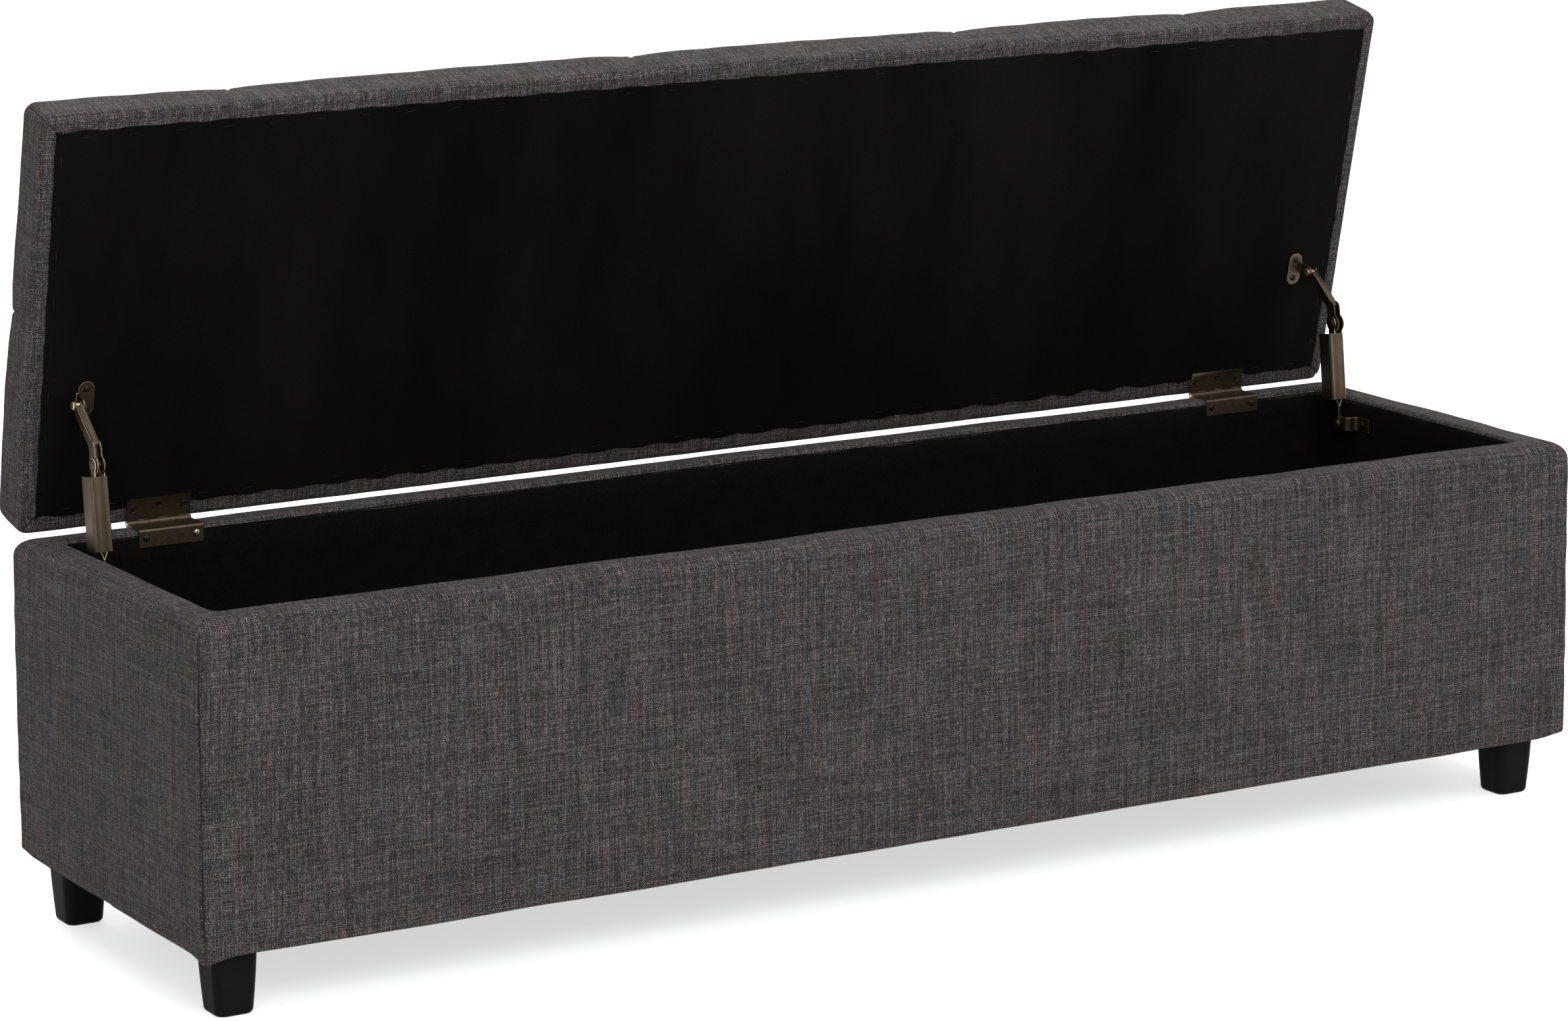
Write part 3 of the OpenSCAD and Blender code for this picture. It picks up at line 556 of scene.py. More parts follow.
def ripple(points, length, seed, waves=14):
    """Smooth irregular waves of about that length, between -1 and 1 or so."""
    rng = np.random.default_rng(seed)
    total = np.zeros(len(points))
    for _ in range(waves):
        way = rng.normal(size=3)
        way *= 2 * math.pi / (length * rng.uniform(0.7, 1.5)) / np.linalg.norm(way)
        total += np.sin(points @ way + rng.uniform(0, 2 * math.pi))
    return total / math.sqrt(waves)


def stations(length, near, step):
    """Fractions of a straight stretch: close together at both ends, then evenly spaced."""
    ends = [x for x in near if x < length / 2]
    count = max(2, round((length - 2 * ends[-1]) / step))
    middle = np.linspace(ends[-1], length - ends[-1], count + 1)[1:-1]
    return np.concatenate([ends, middle, length - np.array(ends[::-1])]) / length


def plan_loop(half_x, half_y, radius, along_x, along_y, arc):
    """Points and outward normals round a rounded rectangle, and each column's cloth coordinates and wall."""
    ways = [((1, 0), (0, -1)), ((0, 1), (1, 0)), ((-1, 0), (0, 1)), ((0, -1), (-1, 0))]
    points, normals, left, right, wall = [], [], [], [], []
    for w, (d, n) in enumerate(ways):
        d, n = np.array(d, float), np.array(n, float)
        reach, out, parts = (half_x, half_y, along_x) if w % 2 == 0 else (half_y, half_x, along_y)
        straight = (2 * parts - 1) * (reach - radius)
        turn = np.arange(arc + 1) / arc * math.pi / 2
        for a in straight:
            points.append(d * a + n * out)
            normals.append(n)
        for t in turn[1:-1]:
            ray = n * math.cos(t) + d * math.sin(t)
            points.append(d * (reach - radius) + n * (out - radius) + radius * ray)
            normals.append(ray)
        here = np.concatenate([straight, reach - radius + radius * turn[1:arc // 2 + 1]])
        there = -(out - radius) - radius * (math.pi / 2 - turn[arc // 2:])
        left += [*here[:-1], *there[:-1]]
        right += [*here[1:], *there[1:]]
        wall += [w] * (len(here) - 1) + [(w + 1) % 4] * (len(there) - 1)
    return np.array(points), np.array(normals), np.array(left), np.array(right), np.array(wall)


def run_length(profile):
    """How far along a profile each of its points lies."""
    steps = np.hypot(*np.diff(np.array([p[:2] for p in profile]), axis=0).T)
    return np.concatenate([[0], np.cumsum(steps)])


def quarter(cx, cz, r, start, end, count):
    """Points of an arc in a profile, ends included; angles in degrees from the outward direction."""
    return [(cx - r * math.cos(math.radians(t)), cz + r * math.sin(math.radians(t)))
            for t in np.linspace(start, end, count + 1)]


def profile_normals(profile):
    """Outward normals of a profile of (inset, height): the outer face's normal points to less inset."""
    p = np.array([q[:2] for q in profile], float)
    t = np.gradient(p, axis=0)
    t /= np.maximum(np.linalg.norm(t, axis=1), 1e-9)[:, None]
    return np.stack([t[:, 1], t[:, 0]], axis=1)


def ring_of_loops(profile, half_x, half_y, along_x, along_y, arc, closed):
    """Sweeps a profile of (inset, height, corner radius) round a plan.

    Gives points, normals, faces, cloth uvs and the number of points in a loop.
    """
    facing = profile_normals(profile)
    run = run_length(list(profile) + ([profile[0]] if closed else []))
    rows, turned, lefts, rights = [], [], [], []
    for (inset, z, radius), (out, up) in zip(profile, facing):
        loop = plan_loop(half_x - inset, half_y - inset, radius, along_x, along_y, arc)
        plan, normal, left, right, wall = loop
        rows.append(np.column_stack([plan, np.full(len(plan), z)]))
        turned.append(np.column_stack([normal * out, np.full(len(plan), up)]))
        lefts.append(left)
        rights.append(right)
    columns = len(rows[0])
    i = np.arange(columns)
    j = (i + 1) % columns
    faces, uvs = [], []
    for k in range(len(rows) if closed else len(rows) - 1):
        n = (k + 1) % len(rows)
        faces.append(np.column_stack([k * columns + i, k * columns + j, n * columns + j, n * columns + i]))
        aside = WALL_APART * wall
        uvs.append(np.stack([
            np.column_stack([lefts[k] + aside, np.full(columns, run[k])]),
            np.column_stack([rights[k] + aside, np.full(columns, run[k])]),
            np.column_stack([rights[n] + aside, np.full(columns, run[k + 1])]),
            np.column_stack([lefts[n] + aside, np.full(columns, run[k + 1])])], axis=1))
    return np.concatenate(rows), np.concatenate(turned), np.concatenate(faces), np.concatenate(uvs), columns


def mitre_distance(points, half_x, half_y):
    """Distance in plan from the nearest corner's mitre line."""
    return np.abs((np.abs(points[:, 0]) - half_x) - (np.abs(points[:, 1]) - half_y)) / math.sqrt(2)


def to_open_lid(points):
    """Turns millimetres from the hinge axis, lid closed, to the place of the open lid."""
    c, s = math.cos(LID_ANGLE), math.sin(LID_ANGLE)
    p = np.asarray(points, float)
    return np.column_stack([p[:, 0], p[:, 1] * c + p[:, 2] * s, p[:, 2] * c - p[:, 1] * s]) + AXIS


def lid_matrix():
    """Moves metres from the hinge axis, lid closed, to the place of the open lid."""
    return Matrix.Translation(Vector(AXIS) * MM) @ Matrix.Rotation(-LID_ANGLE, 4, "X")


def dress(node, material):
    """Gives a carried-over node its material."""
    obj = frame["nodes"][node]
    obj.data.materials.clear()
    obj.data.materials.append(finish(material))


def declare(obj, body, slot, *nodes):
    """Names the body a piece rides on and hides the nodes it stands for. slot, its finish, is not used."""
    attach(obj, body)
    if nodes:
        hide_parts(*nodes)
    return obj


def plated_copy(node, body, materials=("brass", "worn_and_highlit_brass"), width=None, rubbed_and_highlit=None):
    """A copy of a metal node with broken edges, which take its last material: a bright colour, partly wear
    and partly painted highlight.

    rubbed says of a place in millimetres whether the face there takes that bright colour too.
    """
    mesh = frame["nodes"][node].data.copy()
    mesh.name = node + "_plated"
    b = bmesh.new()
    b.from_mesh(mesh)
    bmesh.ops.remove_doubles(b, verts=b.verts, dist=1e-6)
    bmesh.ops.dissolve_limit(b, angle_limit=math.radians(1.0), verts=b.verts, edges=b.edges)
    bmesh.ops.recalc_face_normals(b, faces=b.faces)
    for f in b.faces:
        f.smooth = True
        f.material_index = 1 if rubbed_and_highlit and rubbed_and_highlit(f.calc_center_median() / MM) else 0
    b.to_mesh(mesh)
    b.free()
    mesh.materials.clear()
    for m in materials:
        mesh.materials.append(finish(m))
    obj = link(bpy.data.objects.new(node + "_plated", mesh))
    bevel = obj.modifiers.new("Broken edges", "BEVEL")
    bevel.width = width or sizes().edge_break
    bevel.segments = 2
    bevel.limit_method = "ANGLE"
    bevel.angle_limit = math.radians(35)
    bevel.harden_normals = True
    bevel.material = len(materials) - 1
    obj.modifiers.new("Flat faces", "WEIGHTED_NORMAL")
    return declare(obj, body, "antique_brass", node)


# ---- repeated parts ----

def new_tree(name, inputs):
    """A geometry tree with named inputs: (label, socket type, default)."""
    tree = bpy.data.node_groups.new(name, "GeometryNodeTree")
    tree.interface.new_socket("Geometry", in_out="INPUT", socket_type="NodeSocketGeometry")
    for label, kind, default in inputs:
        socket = tree.interface.new_socket(label, in_out="INPUT", socket_type=kind)
        if default is not None:
            socket.default_value = default
    tree.interface.new_socket("Geometry", in_out="OUTPUT", socket_type="NodeSocketGeometry")
    source = tree.nodes.new("NodeGroupInput")
    sink = tree.nodes.new("NodeGroupOutput")

    def add(kind, inputs=None, **settings):
        node = tree.nodes.new(kind)
        for key, value in settings.items():
            setattr(node, key, value)
        for key, value in (inputs or {}).items():
            if isinstance(value, bpy.types.NodeSocket):
                tree.links.new(value, node.inputs[key])
            else:
                node.inputs[key].default_value = value
        return node

    return tree, source.outputs, sink.inputs, add


def set_out(add, tree, geometry, material, sink):
    """Ends a tree: real geometry with its material."""
    real = add("GeometryNodeRealizeInstances", {0: geometry})
    painted = add("GeometryNodeSetMaterial", {"Geometry": real.outputs[0], "Material": material})
    tree.links.new(painted.outputs[0], sink[0])


def bake_tree(name, tree, mesh, values):
    """Runs a tree on a mesh and gives back an object that holds the result as a plain mesh."""
    obj = link(bpy.data.objects.new(name, mesh))
    modifier = obj.modifiers.new("Tree", "NODES")
    modifier.node_group = tree
    for item in tree.interface.items_tree:
        if item.in_out == "INPUT" and item.name in values:
            modifier[item.identifier] = values[item.name]
    result = bpy.data.meshes.new_from_object(obj.evaluated_get(bpy.context.evaluated_depsgraph_get()))
    obj.modifiers.clear()
    obj.data = result
    result.name = name
    return obj


def place_points(name, points, turns):
    """A mesh of points in metres that carries each one's turn."""
    mesh = bpy.data.meshes.new(name)
    mesh.from_pydata([tuple(p) for p in points], [], [])
    attribute = mesh.attributes.new("turn", "FLOAT_VECTOR", "POINT")
    attribute.data.foreach_set("vector", np.asarray(turns, np.float32).ravel())
    return mesh


def spun(add, spread, seed):
    """The stored turn after a random spin of up to spread, either way, about the part's own Z."""
    turn = add("GeometryNodeInputNamedAttribute", {"Name": "turn"}, data_type="FLOAT_VECTOR").outputs[0]
    spin = add("FunctionNodeRandomValue", {"Seed": seed}, data_type="FLOAT")
    low = add("ShaderNodeMath", {0: spread, 1: -1.0}, operation="MULTIPLY").outputs[0]
    spin_low = next(s for s in spin.inputs if s.identifier == "Min_001")
    spin_high = next(s for s in spin.inputs if s.identifier == "Max_001")
    tree = spin.id_data
    tree.links.new(low, spin_low)
    tree.links.new(spread, spin_high)
    value = next(s for s in spin.outputs if s.identifier == "Value_001")
    own = add("ShaderNodeCombineXYZ", {2: value}).outputs[0]
    to_rotation = add("FunctionNodeEulerToRotation", {0: turn}).outputs[0]
    own_rotation = add("FunctionNodeEulerToRotation", {0: own}).outputs[0]
    both = add("FunctionNodeRotateRotation", {0: to_rotation, 1: own_rotation}, rotation_space="LOCAL")
    return both.outputs[0]


def staple_tree():
    """Staples: a rounded wire loop on each point, its lower half driven in."""
    tree, source, sink, add = new_tree("Staples", [
        ("Crown", "NodeSocketFloat", 0.010), ("Leg", "NodeSocketFloat", 0.006),
        ("Wire Width", "NodeSocketFloat", 0.0012), ("Wire Thickness", "NodeSocketFloat", 0.0006),
        ("Askew", "NodeSocketFloat", 0.1), ("Seed", "NodeSocketInt", 4),
        ("Material", "NodeSocketMaterial", None)])
    loop = add("GeometryNodeCurvePrimitiveQuadrilateral", {"Width": source["Crown"], "Height": source["Leg"]})
    soft = add("GeometryNodeFilletCurve", {"Curve": loop.outputs[0], "Count": 3, "Radius": 0.9 * MM},
               mode="POLY")
    wire = add("GeometryNodeCurvePrimitiveQuadrilateral", {"Width": source["Wire Width"],
                                                           "Height": source["Wire Thickness"]})
    body = add("GeometryNodeCurveToMesh", {"Curve": soft.outputs[0], "Profile Curve": wire.outputs[0]})
    sunk = add("ShaderNodeMath", {0: source["Leg"], 1: -0.5}, operation="MULTIPLY").outputs[0]
    down = add("ShaderNodeCombineXYZ", {2: sunk}).outputs[0]
    upright = add("GeometryNodeTransform", {"Geometry": body.outputs[0], "Rotation": (math.pi / 2, 0.0, 0.0),
                                            "Translation": down})
    put = add("GeometryNodeInstanceOnPoints", {
        "Points": source["Geometry"], "Instance": upright.outputs[0],
        "Rotation": spun(add, source["Askew"], source["Seed"])})
    set_out(add, tree, put.outputs[0], source["Material"], sink)
    return tree


def screw_tree():
    """Screws: a domed head with a cross recess, its lower half and its shank driven in."""
    tree, source, sink, add = new_tree("Screws", [
        ("Head Radius", "NodeSocketFloat", 0.0033), ("Head Height", "NodeSocketFloat", 0.0018),
        ("Recess Length", "NodeSocketFloat", 0.0038), ("Recess Width", "NodeSocketFloat", 0.0007),
        ("Recess Depth", "NodeSocketFloat", 0.0011), ("Shank Radius", "NodeSocketFloat", 0.00175),
        ("Shank Length", "NodeSocketFloat", 0.015), ("Spin", "NodeSocketFloat", math.pi),
        ("Seed", "NodeSocketInt", 7), ("Material", "NodeSocketMaterial", None)])
    ball = add("GeometryNodeMeshUVSphere", {"Segments": 28, "Rings": 14, "Radius": 1.0})
    radius = source["Head Radius"]
    shape = add("ShaderNodeCombineXYZ", {0: radius, 1: radius, 2: source["Head Height"]})
    head = add("GeometryNodeTransform", {"Geometry": ball.outputs[0], "Scale": shape.outputs[0]})
    deep = add("ShaderNodeMath", {0: source["Recess Depth"], 1: 2.0}, operation="MULTIPLY").outputs[0]
    bars = []
    for first, second in (("Recess Length", "Recess Width"), ("Recess Width", "Recess Length")):
        size = add("ShaderNodeCombineXYZ", {0: source[first], 1: source[second], 2: deep})
        bars.append(add("GeometryNodeMeshCube", {"Size": size.outputs[0]}).outputs[0])
    rise = add("ShaderNodeCombineXYZ", {2: source["Head Height"]})
    cutters = [add("GeometryNodeTransform", {"Geometry": bar, "Translation": rise.outputs[0]})
               for bar in bars]
    cut = add("GeometryNodeMeshBoolean", {"Mesh 1": head.outputs[0]}, operation="DIFFERENCE")
    for cutter in cutters:
        tree.links.new(cutter.outputs[0], cut.inputs["Mesh 2"])
    shank = add("GeometryNodeMeshCylinder", {"Vertices": 16, "Radius": source["Shank Radius"],
                                             "Depth": source["Shank Length"]})
    half = add("ShaderNodeMath", {0: source["Shank Length"], 1: -0.5}, operation="MULTIPLY").outputs[0]
    down = add("ShaderNodeCombineXYZ", {2: half})
    low = add("GeometryNodeTransform", {"Geometry": shank.outputs[0], "Translation": down.outputs[0]})
    whole = add("GeometryNodeJoinGeometry")
    tree.links.new(low.outputs[0], whole.inputs[0])
    tree.links.new(cut.outputs[0], whole.inputs[0])
    put = add("GeometryNodeInstanceOnPoints", {
        "Points": source["Geometry"], "Instance": whole.outputs[0],
        "Rotation": spun(add, source["Spin"], source["Seed"])})
    set_out(add, tree, put.outputs[0], source["Material"], sink)
    return tree


def spring_tree():
    """A close-wound spring along +Z."""
    tree, source, sink, add = new_tree("Spring", [
        ("Turns", "NodeSocketFloat", 24.0), ("Radius", "NodeSocketFloat", 0.0025),
        ("Length", "NodeSocketFloat", 0.038), ("Wire Radius", "NodeSocketFloat", 0.0009),
        ("Material", "NodeSocketMaterial", None)])
    coil = add("GeometryNodeCurveSpiral", {"Resolution": 18, "Rotations": source["Turns"],
                                           "Start Radius": source["Radius"], "End Radius": source["Radius"],
                                           "Height": source["Length"]})
    wire = add("GeometryNodeCurvePrimitiveCircle", {"Resolution": 8, "Radius": source["Wire Radius"]})
    body = add("GeometryNodeCurveToMesh", {"Curve": coil.outputs[0], "Profile Curve": wire.outputs[0],
                                           "Fill Caps": True})
    set_out(add, tree, body.outputs[0], source["Material"], sink)
    return tree


def button_tree():
    """Cloth-covered buttons: one domed button on each point."""
    tree, source, sink, add = new_tree("Buttons", [
        ("Button", "NodeSocketObject", None), ("Spin", "NodeSocketFloat", 0.4), ("Seed", "NodeSocketInt", 2),
        ("Material", "NodeSocketMaterial", None)])
    shape = add("GeometryNodeObjectInfo", {"Object": source["Button"]}, transform_space="ORIGINAL")
    put = add("GeometryNodeInstanceOnPoints", {
        "Points": source["Geometry"], "Instance": shape.outputs["Geometry"],
        "Rotation": spun(add, source["Spin"], source["Seed"])})
    set_out(add, tree, put.outputs[0], source["Material"], sink)
    return tree


def staple_places(half_x, half_y, pitch, skip=lambda x, y: False):
    """Middles of staples along a rectangle, each with whether it lies along Y; none where skip is true."""
    found = []
    for length, other, along_y in ((2 * half_x, half_y, False), (2 * half_y, half_x, True)):
        count = round(length / pitch)
        for s in (-1, 1):
            for k in range(count):
                a = (k + 0.5) * length / count - length / 2
                x, y = (s * other, a) if along_y else (a, s * other)
                if not skip(x, y):
                    found.append((x, y, along_y))
    return found


# ---- the box ----

def cover_profile():
    """Section of the box's cover: lip underneath, face, rim and inside edge, and then its back."""
    front = [(d, BASE_Z, 3) for d in (30, 24, 18, 12, 7)]
    front += [(d, z, 5) for d, z in quarter(3, BASE_Z + 3, 3, -90, 0, 4)]
    front += [(0, z, 5) for z in np.linspace(BASE_Z + 3, RIM_Z - RIM_R, 36)[1:-1]]
    front += [(d, z, 5 + 6 * smooth_step(d, 0, 16))
              for d, z in quarter(RIM_R, RIM_Z - RIM_R, RIM_R, 0, 90, 12)]
    front += [(d, RIM_Z, 11) for d in np.linspace(RIM_R, WALL - RIM_IN_R, 6)[1:-1]]
    front += [(WALL - RIM_IN_R + (WALL - RIM_IN_R - d), z, 11)
              for d, z in quarter(WALL - RIM_IN_R, RIM_Z - RIM_IN_R, RIM_IN_R, 90, 0, 5)]
    felt_top = LINING_HIGH.z
    inner_end = felt_top - 5
    front += [(WALL, felt_top + 0.6, 11), (WALL - 0.9, felt_top - 1.5, 11), (WALL - 1.1, inner_end, 11)]
    t = CLOTH
    back = [(WALL - t, inner_end, 10.5), (WALL - t, RIM_Z - RIM_IN_R, 10.5),
            (WALL - RIM_IN_R, RIM_Z - t, 10.5), (RIM_R, RIM_Z - t, 10), (6, RIM_Z - 7, 7),
            (t + 0.5, RIM_Z - RIM_R, 4.5), (t + 0.5, BASE_Z + 4, 4.5), (t + 2, BASE_Z + t, 4),
            (30, BASE_Z + t, 3)]
    return front, back


def make_body_cover():
    """Woven cover of the box, full between its seams, ruffled beside them and uneven at its bottom edge."""
    front, back = cover_profile()
    near = [0, 0.9, 1.9, 3.1, 4.6, 6.6, 9.5, 13.5, 19, 26]
    along_x = stations(2 * HALF_L, near, 9)
    along_y = stations(2 * HALF_D, near, 9)
    ring = ring_of_loops(front + back, HALF_L, HALF_D, along_x, along_y, 8, True)
    points, normals, faces, uvs, columns = ring
    rows = np.repeat(np.arange(len(front) + len(back)), columns)
    shown = rows < len(front)
    z = points[:, 2]
    corner = mitre_distance(points, HALF_L, HALF_D)
    inset = np.array([p[0] for p in front + back])[rows]
    face = smooth_step(z, BASE_Z + 4, BASE_Z + 40) * (1 - smooth_step(z, RIM_Z - 60, RIM_Z - 20))
    # Padding that fills the walls between their seams, and slack in the cloth
    fullness = sizes().wall_fullness / MM
    out = fullness * face * (1 - np.exp(-corner / 22))
    out += 0.35 * ripple(points, 150, 5) + 0.16 * ripple(points, 46, 6)
    # Each corner seam: a groove, a roll of cloth either side of it, and puckers up its length
    upright = smooth_step(z, BASE_Z - 4, BASE_Z + 6) * (1 - smooth_step(z, RIM_Z - 20, RIM_Z - 3))
    outer = 1 - smooth_step(inset, 8, 18)
    groove = np.exp(-(corner / 1.15) ** 2) * upright * outer
    beside = np.exp(-((corner - 4.2) / 2.6) ** 2) * upright * outer
    out += -sizes().seam_depth / MM * groove + 0.45 * beside
    out += 0.25 * np.exp(-(corner / 26) ** 2) * np.sin(z / 7.5 + 1.5 * np.sin(z / 23)) * upright * outer
    out[~shown] = 0
    points = points + normals * out[:, None]
    # The bottom edge: lower at the front left corner, higher at the others, and lower to the right in front
    low = (1 - smooth_step(z, BASE_Z, BASE_Z + 16)) * np.exp(-(corner / 13) ** 2)
    low *= 1 - smooth_step(inset, 4, 12)
    front_left = (points[:, 0] < 0) & (points[:, 1] < 0)
    points[:, 2] += np.where(front_left, -4.5, 4.0) * low * shown
    base = (1 - smooth_step(z, BASE_Z, BASE_Z + 60)) * shown
    points[:, 2] -= base * (1.0 + 1.6 * (points[:, 0] + HALF_L) / (2 * HALF_L)) * (points[:, 1] < 0)
    rim = smooth_step(z, RIM_Z - 25, RIM_Z) * shown
    points[:, 2] += rim * (0.45 * ripple(points, 210, 8) + 0.9)
    # The right end stands out, most at its foot, and the left end leans in a little at its top
    right = smooth_step(points[:, 0], HALF_L - 45, HALF_L - 5)
    left = smooth_step(-points[:, 0], HALF_L - 45, HALF_L - 5)
    right_bulge = right * (1.8 + 3.6 * (1 - smooth_step(z, BASE_Z, RIM_Z)))
    points[:, 0] += shown * (right_bulge + left * 1.6 * smooth_step(z, 200, RIM_Z))
    points[:, 1] += MID_Y
    obj = new_piece("body_upholstery", points, faces, ["upholstery"], uvs)
    # The corner seams darkened in colour: the seam line itself, with painted shade in its groove.
    mark(obj.data, "seam_and_crease_shade", 0.86 * np.exp(-(corner / 0.8) ** 2) * upright * outer * shown)
    declare(obj, "box", "upholstery", "body_cover")


def make_wall_foam():
    """Four foam pads, each an angle of foam over its wall panel, mitred at the corners."""
    deep = WALL - CLOTH - LINING_T
    panel_in, panel_top = deep - PANEL, RIM_Z - 4
    section = [(3.0, BASE_Z + 6), (3.0, RIM_Z - RIM_R), (7, RIM_Z - 8.5), (RIM_R, RIM_Z - 3),
               (WALL - RIM_IN_R - 2, RIM_Z - 3), (deep, RIM_Z - 3.8), (deep, panel_top),
               (panel_in, panel_top), (panel_in, BASE_Z + 6)]
    names = {"front_foam": (0, HALF_L, HALF_D), "right_foam": (1, HALF_D, HALF_L),
             "back_foam": (2, HALF_L, HALF_D), "left_foam": (3, HALF_D, HALF_L)}
    for name, (side, reach, out) in names.items():
        turn = side * math.pi / 2
        c, s = math.cos(turn), math.sin(turn)
        cuts = np.linspace(-1, 1, 31)
        rows = []
        for cut in cuts:
            for inset, z in section:
                x, y = cut * (reach - max(inset, 7)), -(out - inset)
                rows.append((x * c - y * s, x * s + y * c + MID_Y, z))
        n = len(section)
        faces = [(a * n + (b + 1) % n, a * n + b, (a + 1) * n + b, (a + 1) * n + (b + 1) % n)
                 for a in range(len(cuts) - 1) for b in range(n)]
        faces += [tuple(range(n)), tuple((len(cuts) - 1) * n + k for k in reversed(range(n)))]
        obj = new_piece(name + "_pad", rows, faces, ["foam"])
        face_out(obj.data)
        declare(obj, "box", "foam", name)


def make_lining():
    """Felt lining: a tray of felt glued to the walls and the floor, soft in its corners."""
    low, high = LINING_LOW, LINING_HIGH
    half_x, half_y = (high.x - low.x) / 2, (high.y - low.y) / 2
    t = LINING_T
    profile = [(0.02, high.z - 1, 8), (t * 0.5, high.z, 8)]
    profile += [(t, z, 7) for z in np.linspace(high.z - 1, low.z + t + 8, 14)]
    profile += [(t + 8 - 8 * math.cos(a), low.z + t + 8 - 8 * math.sin(a), 7)
                for a in np.radians([20, 40, 60, 75, 90])]
    near = [0, 2, 5, 10, 18]
    along_x, along_y = stations(2 * half_x, near, 16), stations(2 * half_y, near, 16)
    ring = ring_of_loops(profile, half_x, half_y, along_x, along_y, 6, False)
    points, normals, faces, uvs, columns = ring
    rows = np.repeat(np.arange(len(profile)), columns)
    depth = smooth_step(high.z - points[:, 2], 4, 40)
    buckle = 0.5 + 0.5 * ripple(points, 90, 21)
    points = points - normals * (0.9 * depth * buckle)[:, None]
    points[:, 2] += np.where(rows < 3, 0.9 * ripple(points, 60, 22) - 0.9, 0)
    start = (len(profile) - 1) * columns
    rim = [start + k for k in range(columns)]
    faces = [f[::-1] for f in faces.tolist()] + [rim]
    uvs = [u[::-1] for u in uvs.tolist()]
    flat = [c for u in uvs for c in u] + [tuple(points[k, :2]) for k in rim]
    points[:, 1] += (low.y + high.y) / 2
    obj = new_piece("felt_lining", points, faces, ["felt"], flat)
    thicken(obj, 0.7)
    declare(obj, "box", "lining", "body_lining")


def make_bottom_net():
    """Dust cloth under the box."""
    low, high = (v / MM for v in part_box("bottom_dust_cover"))
    half = np.array([(high.x - low.x) / 2, (high.y - low.y) / 2])
    nx, ny = 150, 44
    xs, ys = np.meshgrid(np.linspace(-1, 1, nx + 1), np.linspace(-1, 1, ny + 1))
    flat = np.column_stack([xs.ravel() * half[0], ys.ravel() * half[1]])
    rim = np.minimum(half[0] - np.abs(flat[:, 0]), half[1] - np.abs(flat[:, 1]))
    points = np.column_stack([flat, np.full(len(flat), low.z + 0.1)])
    sag = smooth_step(rim, 14, 70) * (0.9 + 0.7 * ripple(points, 160, 31))
    points[:, 2] -= np.maximum(sag, 0)
    points[:, :2] *= (1 - 0.0012 * (1 + ripple(points, 50, 32)) * (rim < 1))[:, None]
    faces = grid_faces(nx + 1, ny + 1)
    points[:, 1] += MID_Y
    obj = new_piece("bottom_dust_cloth", points, faces, ["net"], flat[faces.ravel()])
    thicken(obj, 0.6)
    declare(obj, "box", "dust_cloth", "bottom_dust_cover")


def make_bottom_staples():
    """Staples round the dust cloth under the box."""
    places = staple_places(HALF_L - BOX_STAPLE_IN, HALF_D - BOX_STAPLE_IN, BOX_STAPLE_PITCH)
    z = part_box("bottom_dust_cover")[0].z
    mesh = place_points("bottom_staples_at", [(x * MM, (y + MID_Y) * MM, z) for x, y, _ in places],
                        [(math.pi, 0, math.pi / 2 if turned else 0) for *_, turned in places])
    obj = bake_tree("bottom_staples_driven", staple_tree(), mesh, {
        "Askew": sizes().staple_turn, "Seed": 12, "Material": finish("zinc")})
    declare(obj, "box", "zinc_steel", "bottom_staples")


def make_feet():
    """Moulded feet: a tapered block with rounded corners and a rounded sole."""
    fractions = np.linspace(0, 1, 9)
    corners = {"foot_front_left": (-1, -1), "foot_front_right": (1, -1),
               "foot_back_left": (-1, 1), "foot_back_right": (1, 1)}
    for name, (sx, sy) in corners.items():
        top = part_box(name)[1].z / MM
        middle = [sx * (HALF_L - FOOT_INSET), sy * (HALF_D - FOOT_INSET) + MID_Y]
        # Half width, height and corner radius: the rounded sole, then the sides that widen upwards
        profile = []
        for t in np.linspace(0, 90, 9):
            a = math.radians(t)
            profile.append((18.8 - 4.2 * (1 - math.sin(a)), 5.0 * (1 - math.cos(a)), 6.5 + 2.5 * math.sin(a)))
        for t in np.linspace(0, 1, 12)[1:]:
            profile.append((18.8 + 3.5 * t + 0.3 * math.sin(math.pi * t), 5.0 + (top - 5.4) * t, 9 + t))
        profile.append((22.1, top - 0.15, 9.8))
        profile.append((21.6, top, 9.4))
        rows = []
        for half, z, r in profile:
            plan = plan_loop(half, half, r, fractions, fractions, 8)[0]
            rows.append(np.column_stack([plan + middle, np.full(len(plan), z)]))
        n = len(rows[0])
        i = np.arange(n)
        j = (i + 1) % n
        faces = []
        for k in range(len(rows) - 1):
            faces += np.column_stack([k * n + i, k * n + j, (k + 1) * n + j, (k + 1) * n + i]).tolist()
        faces += [list(range(n))[::-1], [(len(rows) - 1) * n + k for k in range(n)]]
        obj = new_piece(name + "_moulding", np.concatenate(rows), faces, ["foot"])
        declare(obj, "box", "foot_plastic", name)


# ---- the lid ----

def folds():
    """Fold lines of the tufting, from the middle of the lid's top: button to button and button to edge."""
    lines = []
    for k in OUTER_ROW:
        for row, pleats in ((-1, FRONT_PLEATS), (1, BACK_PLEATS)):
            start = (k * PITCH, row * ROW)
            lines += [(start, ((k + s) * PITCH, 0)) for s in (-0.5, 0.5)]
            edge = (pleats[k], row * (LID_Y - 12))
            bend = (0.35 * start[0] + 0.65 * edge[0], row * (ROW + 0.55 * (LID_Y - ROW)))
            lines += [(start, bend), (bend, edge), (edge, (pleats[k], row * (LID_Y + 90)))]
    for s in (-1, 1):
        lines.append(((s * 2 * PITCH, 0), (s * (LID_X + 90), 0)))
    return [(np.array(a, float), np.array(b, float)) for a, b in lines]


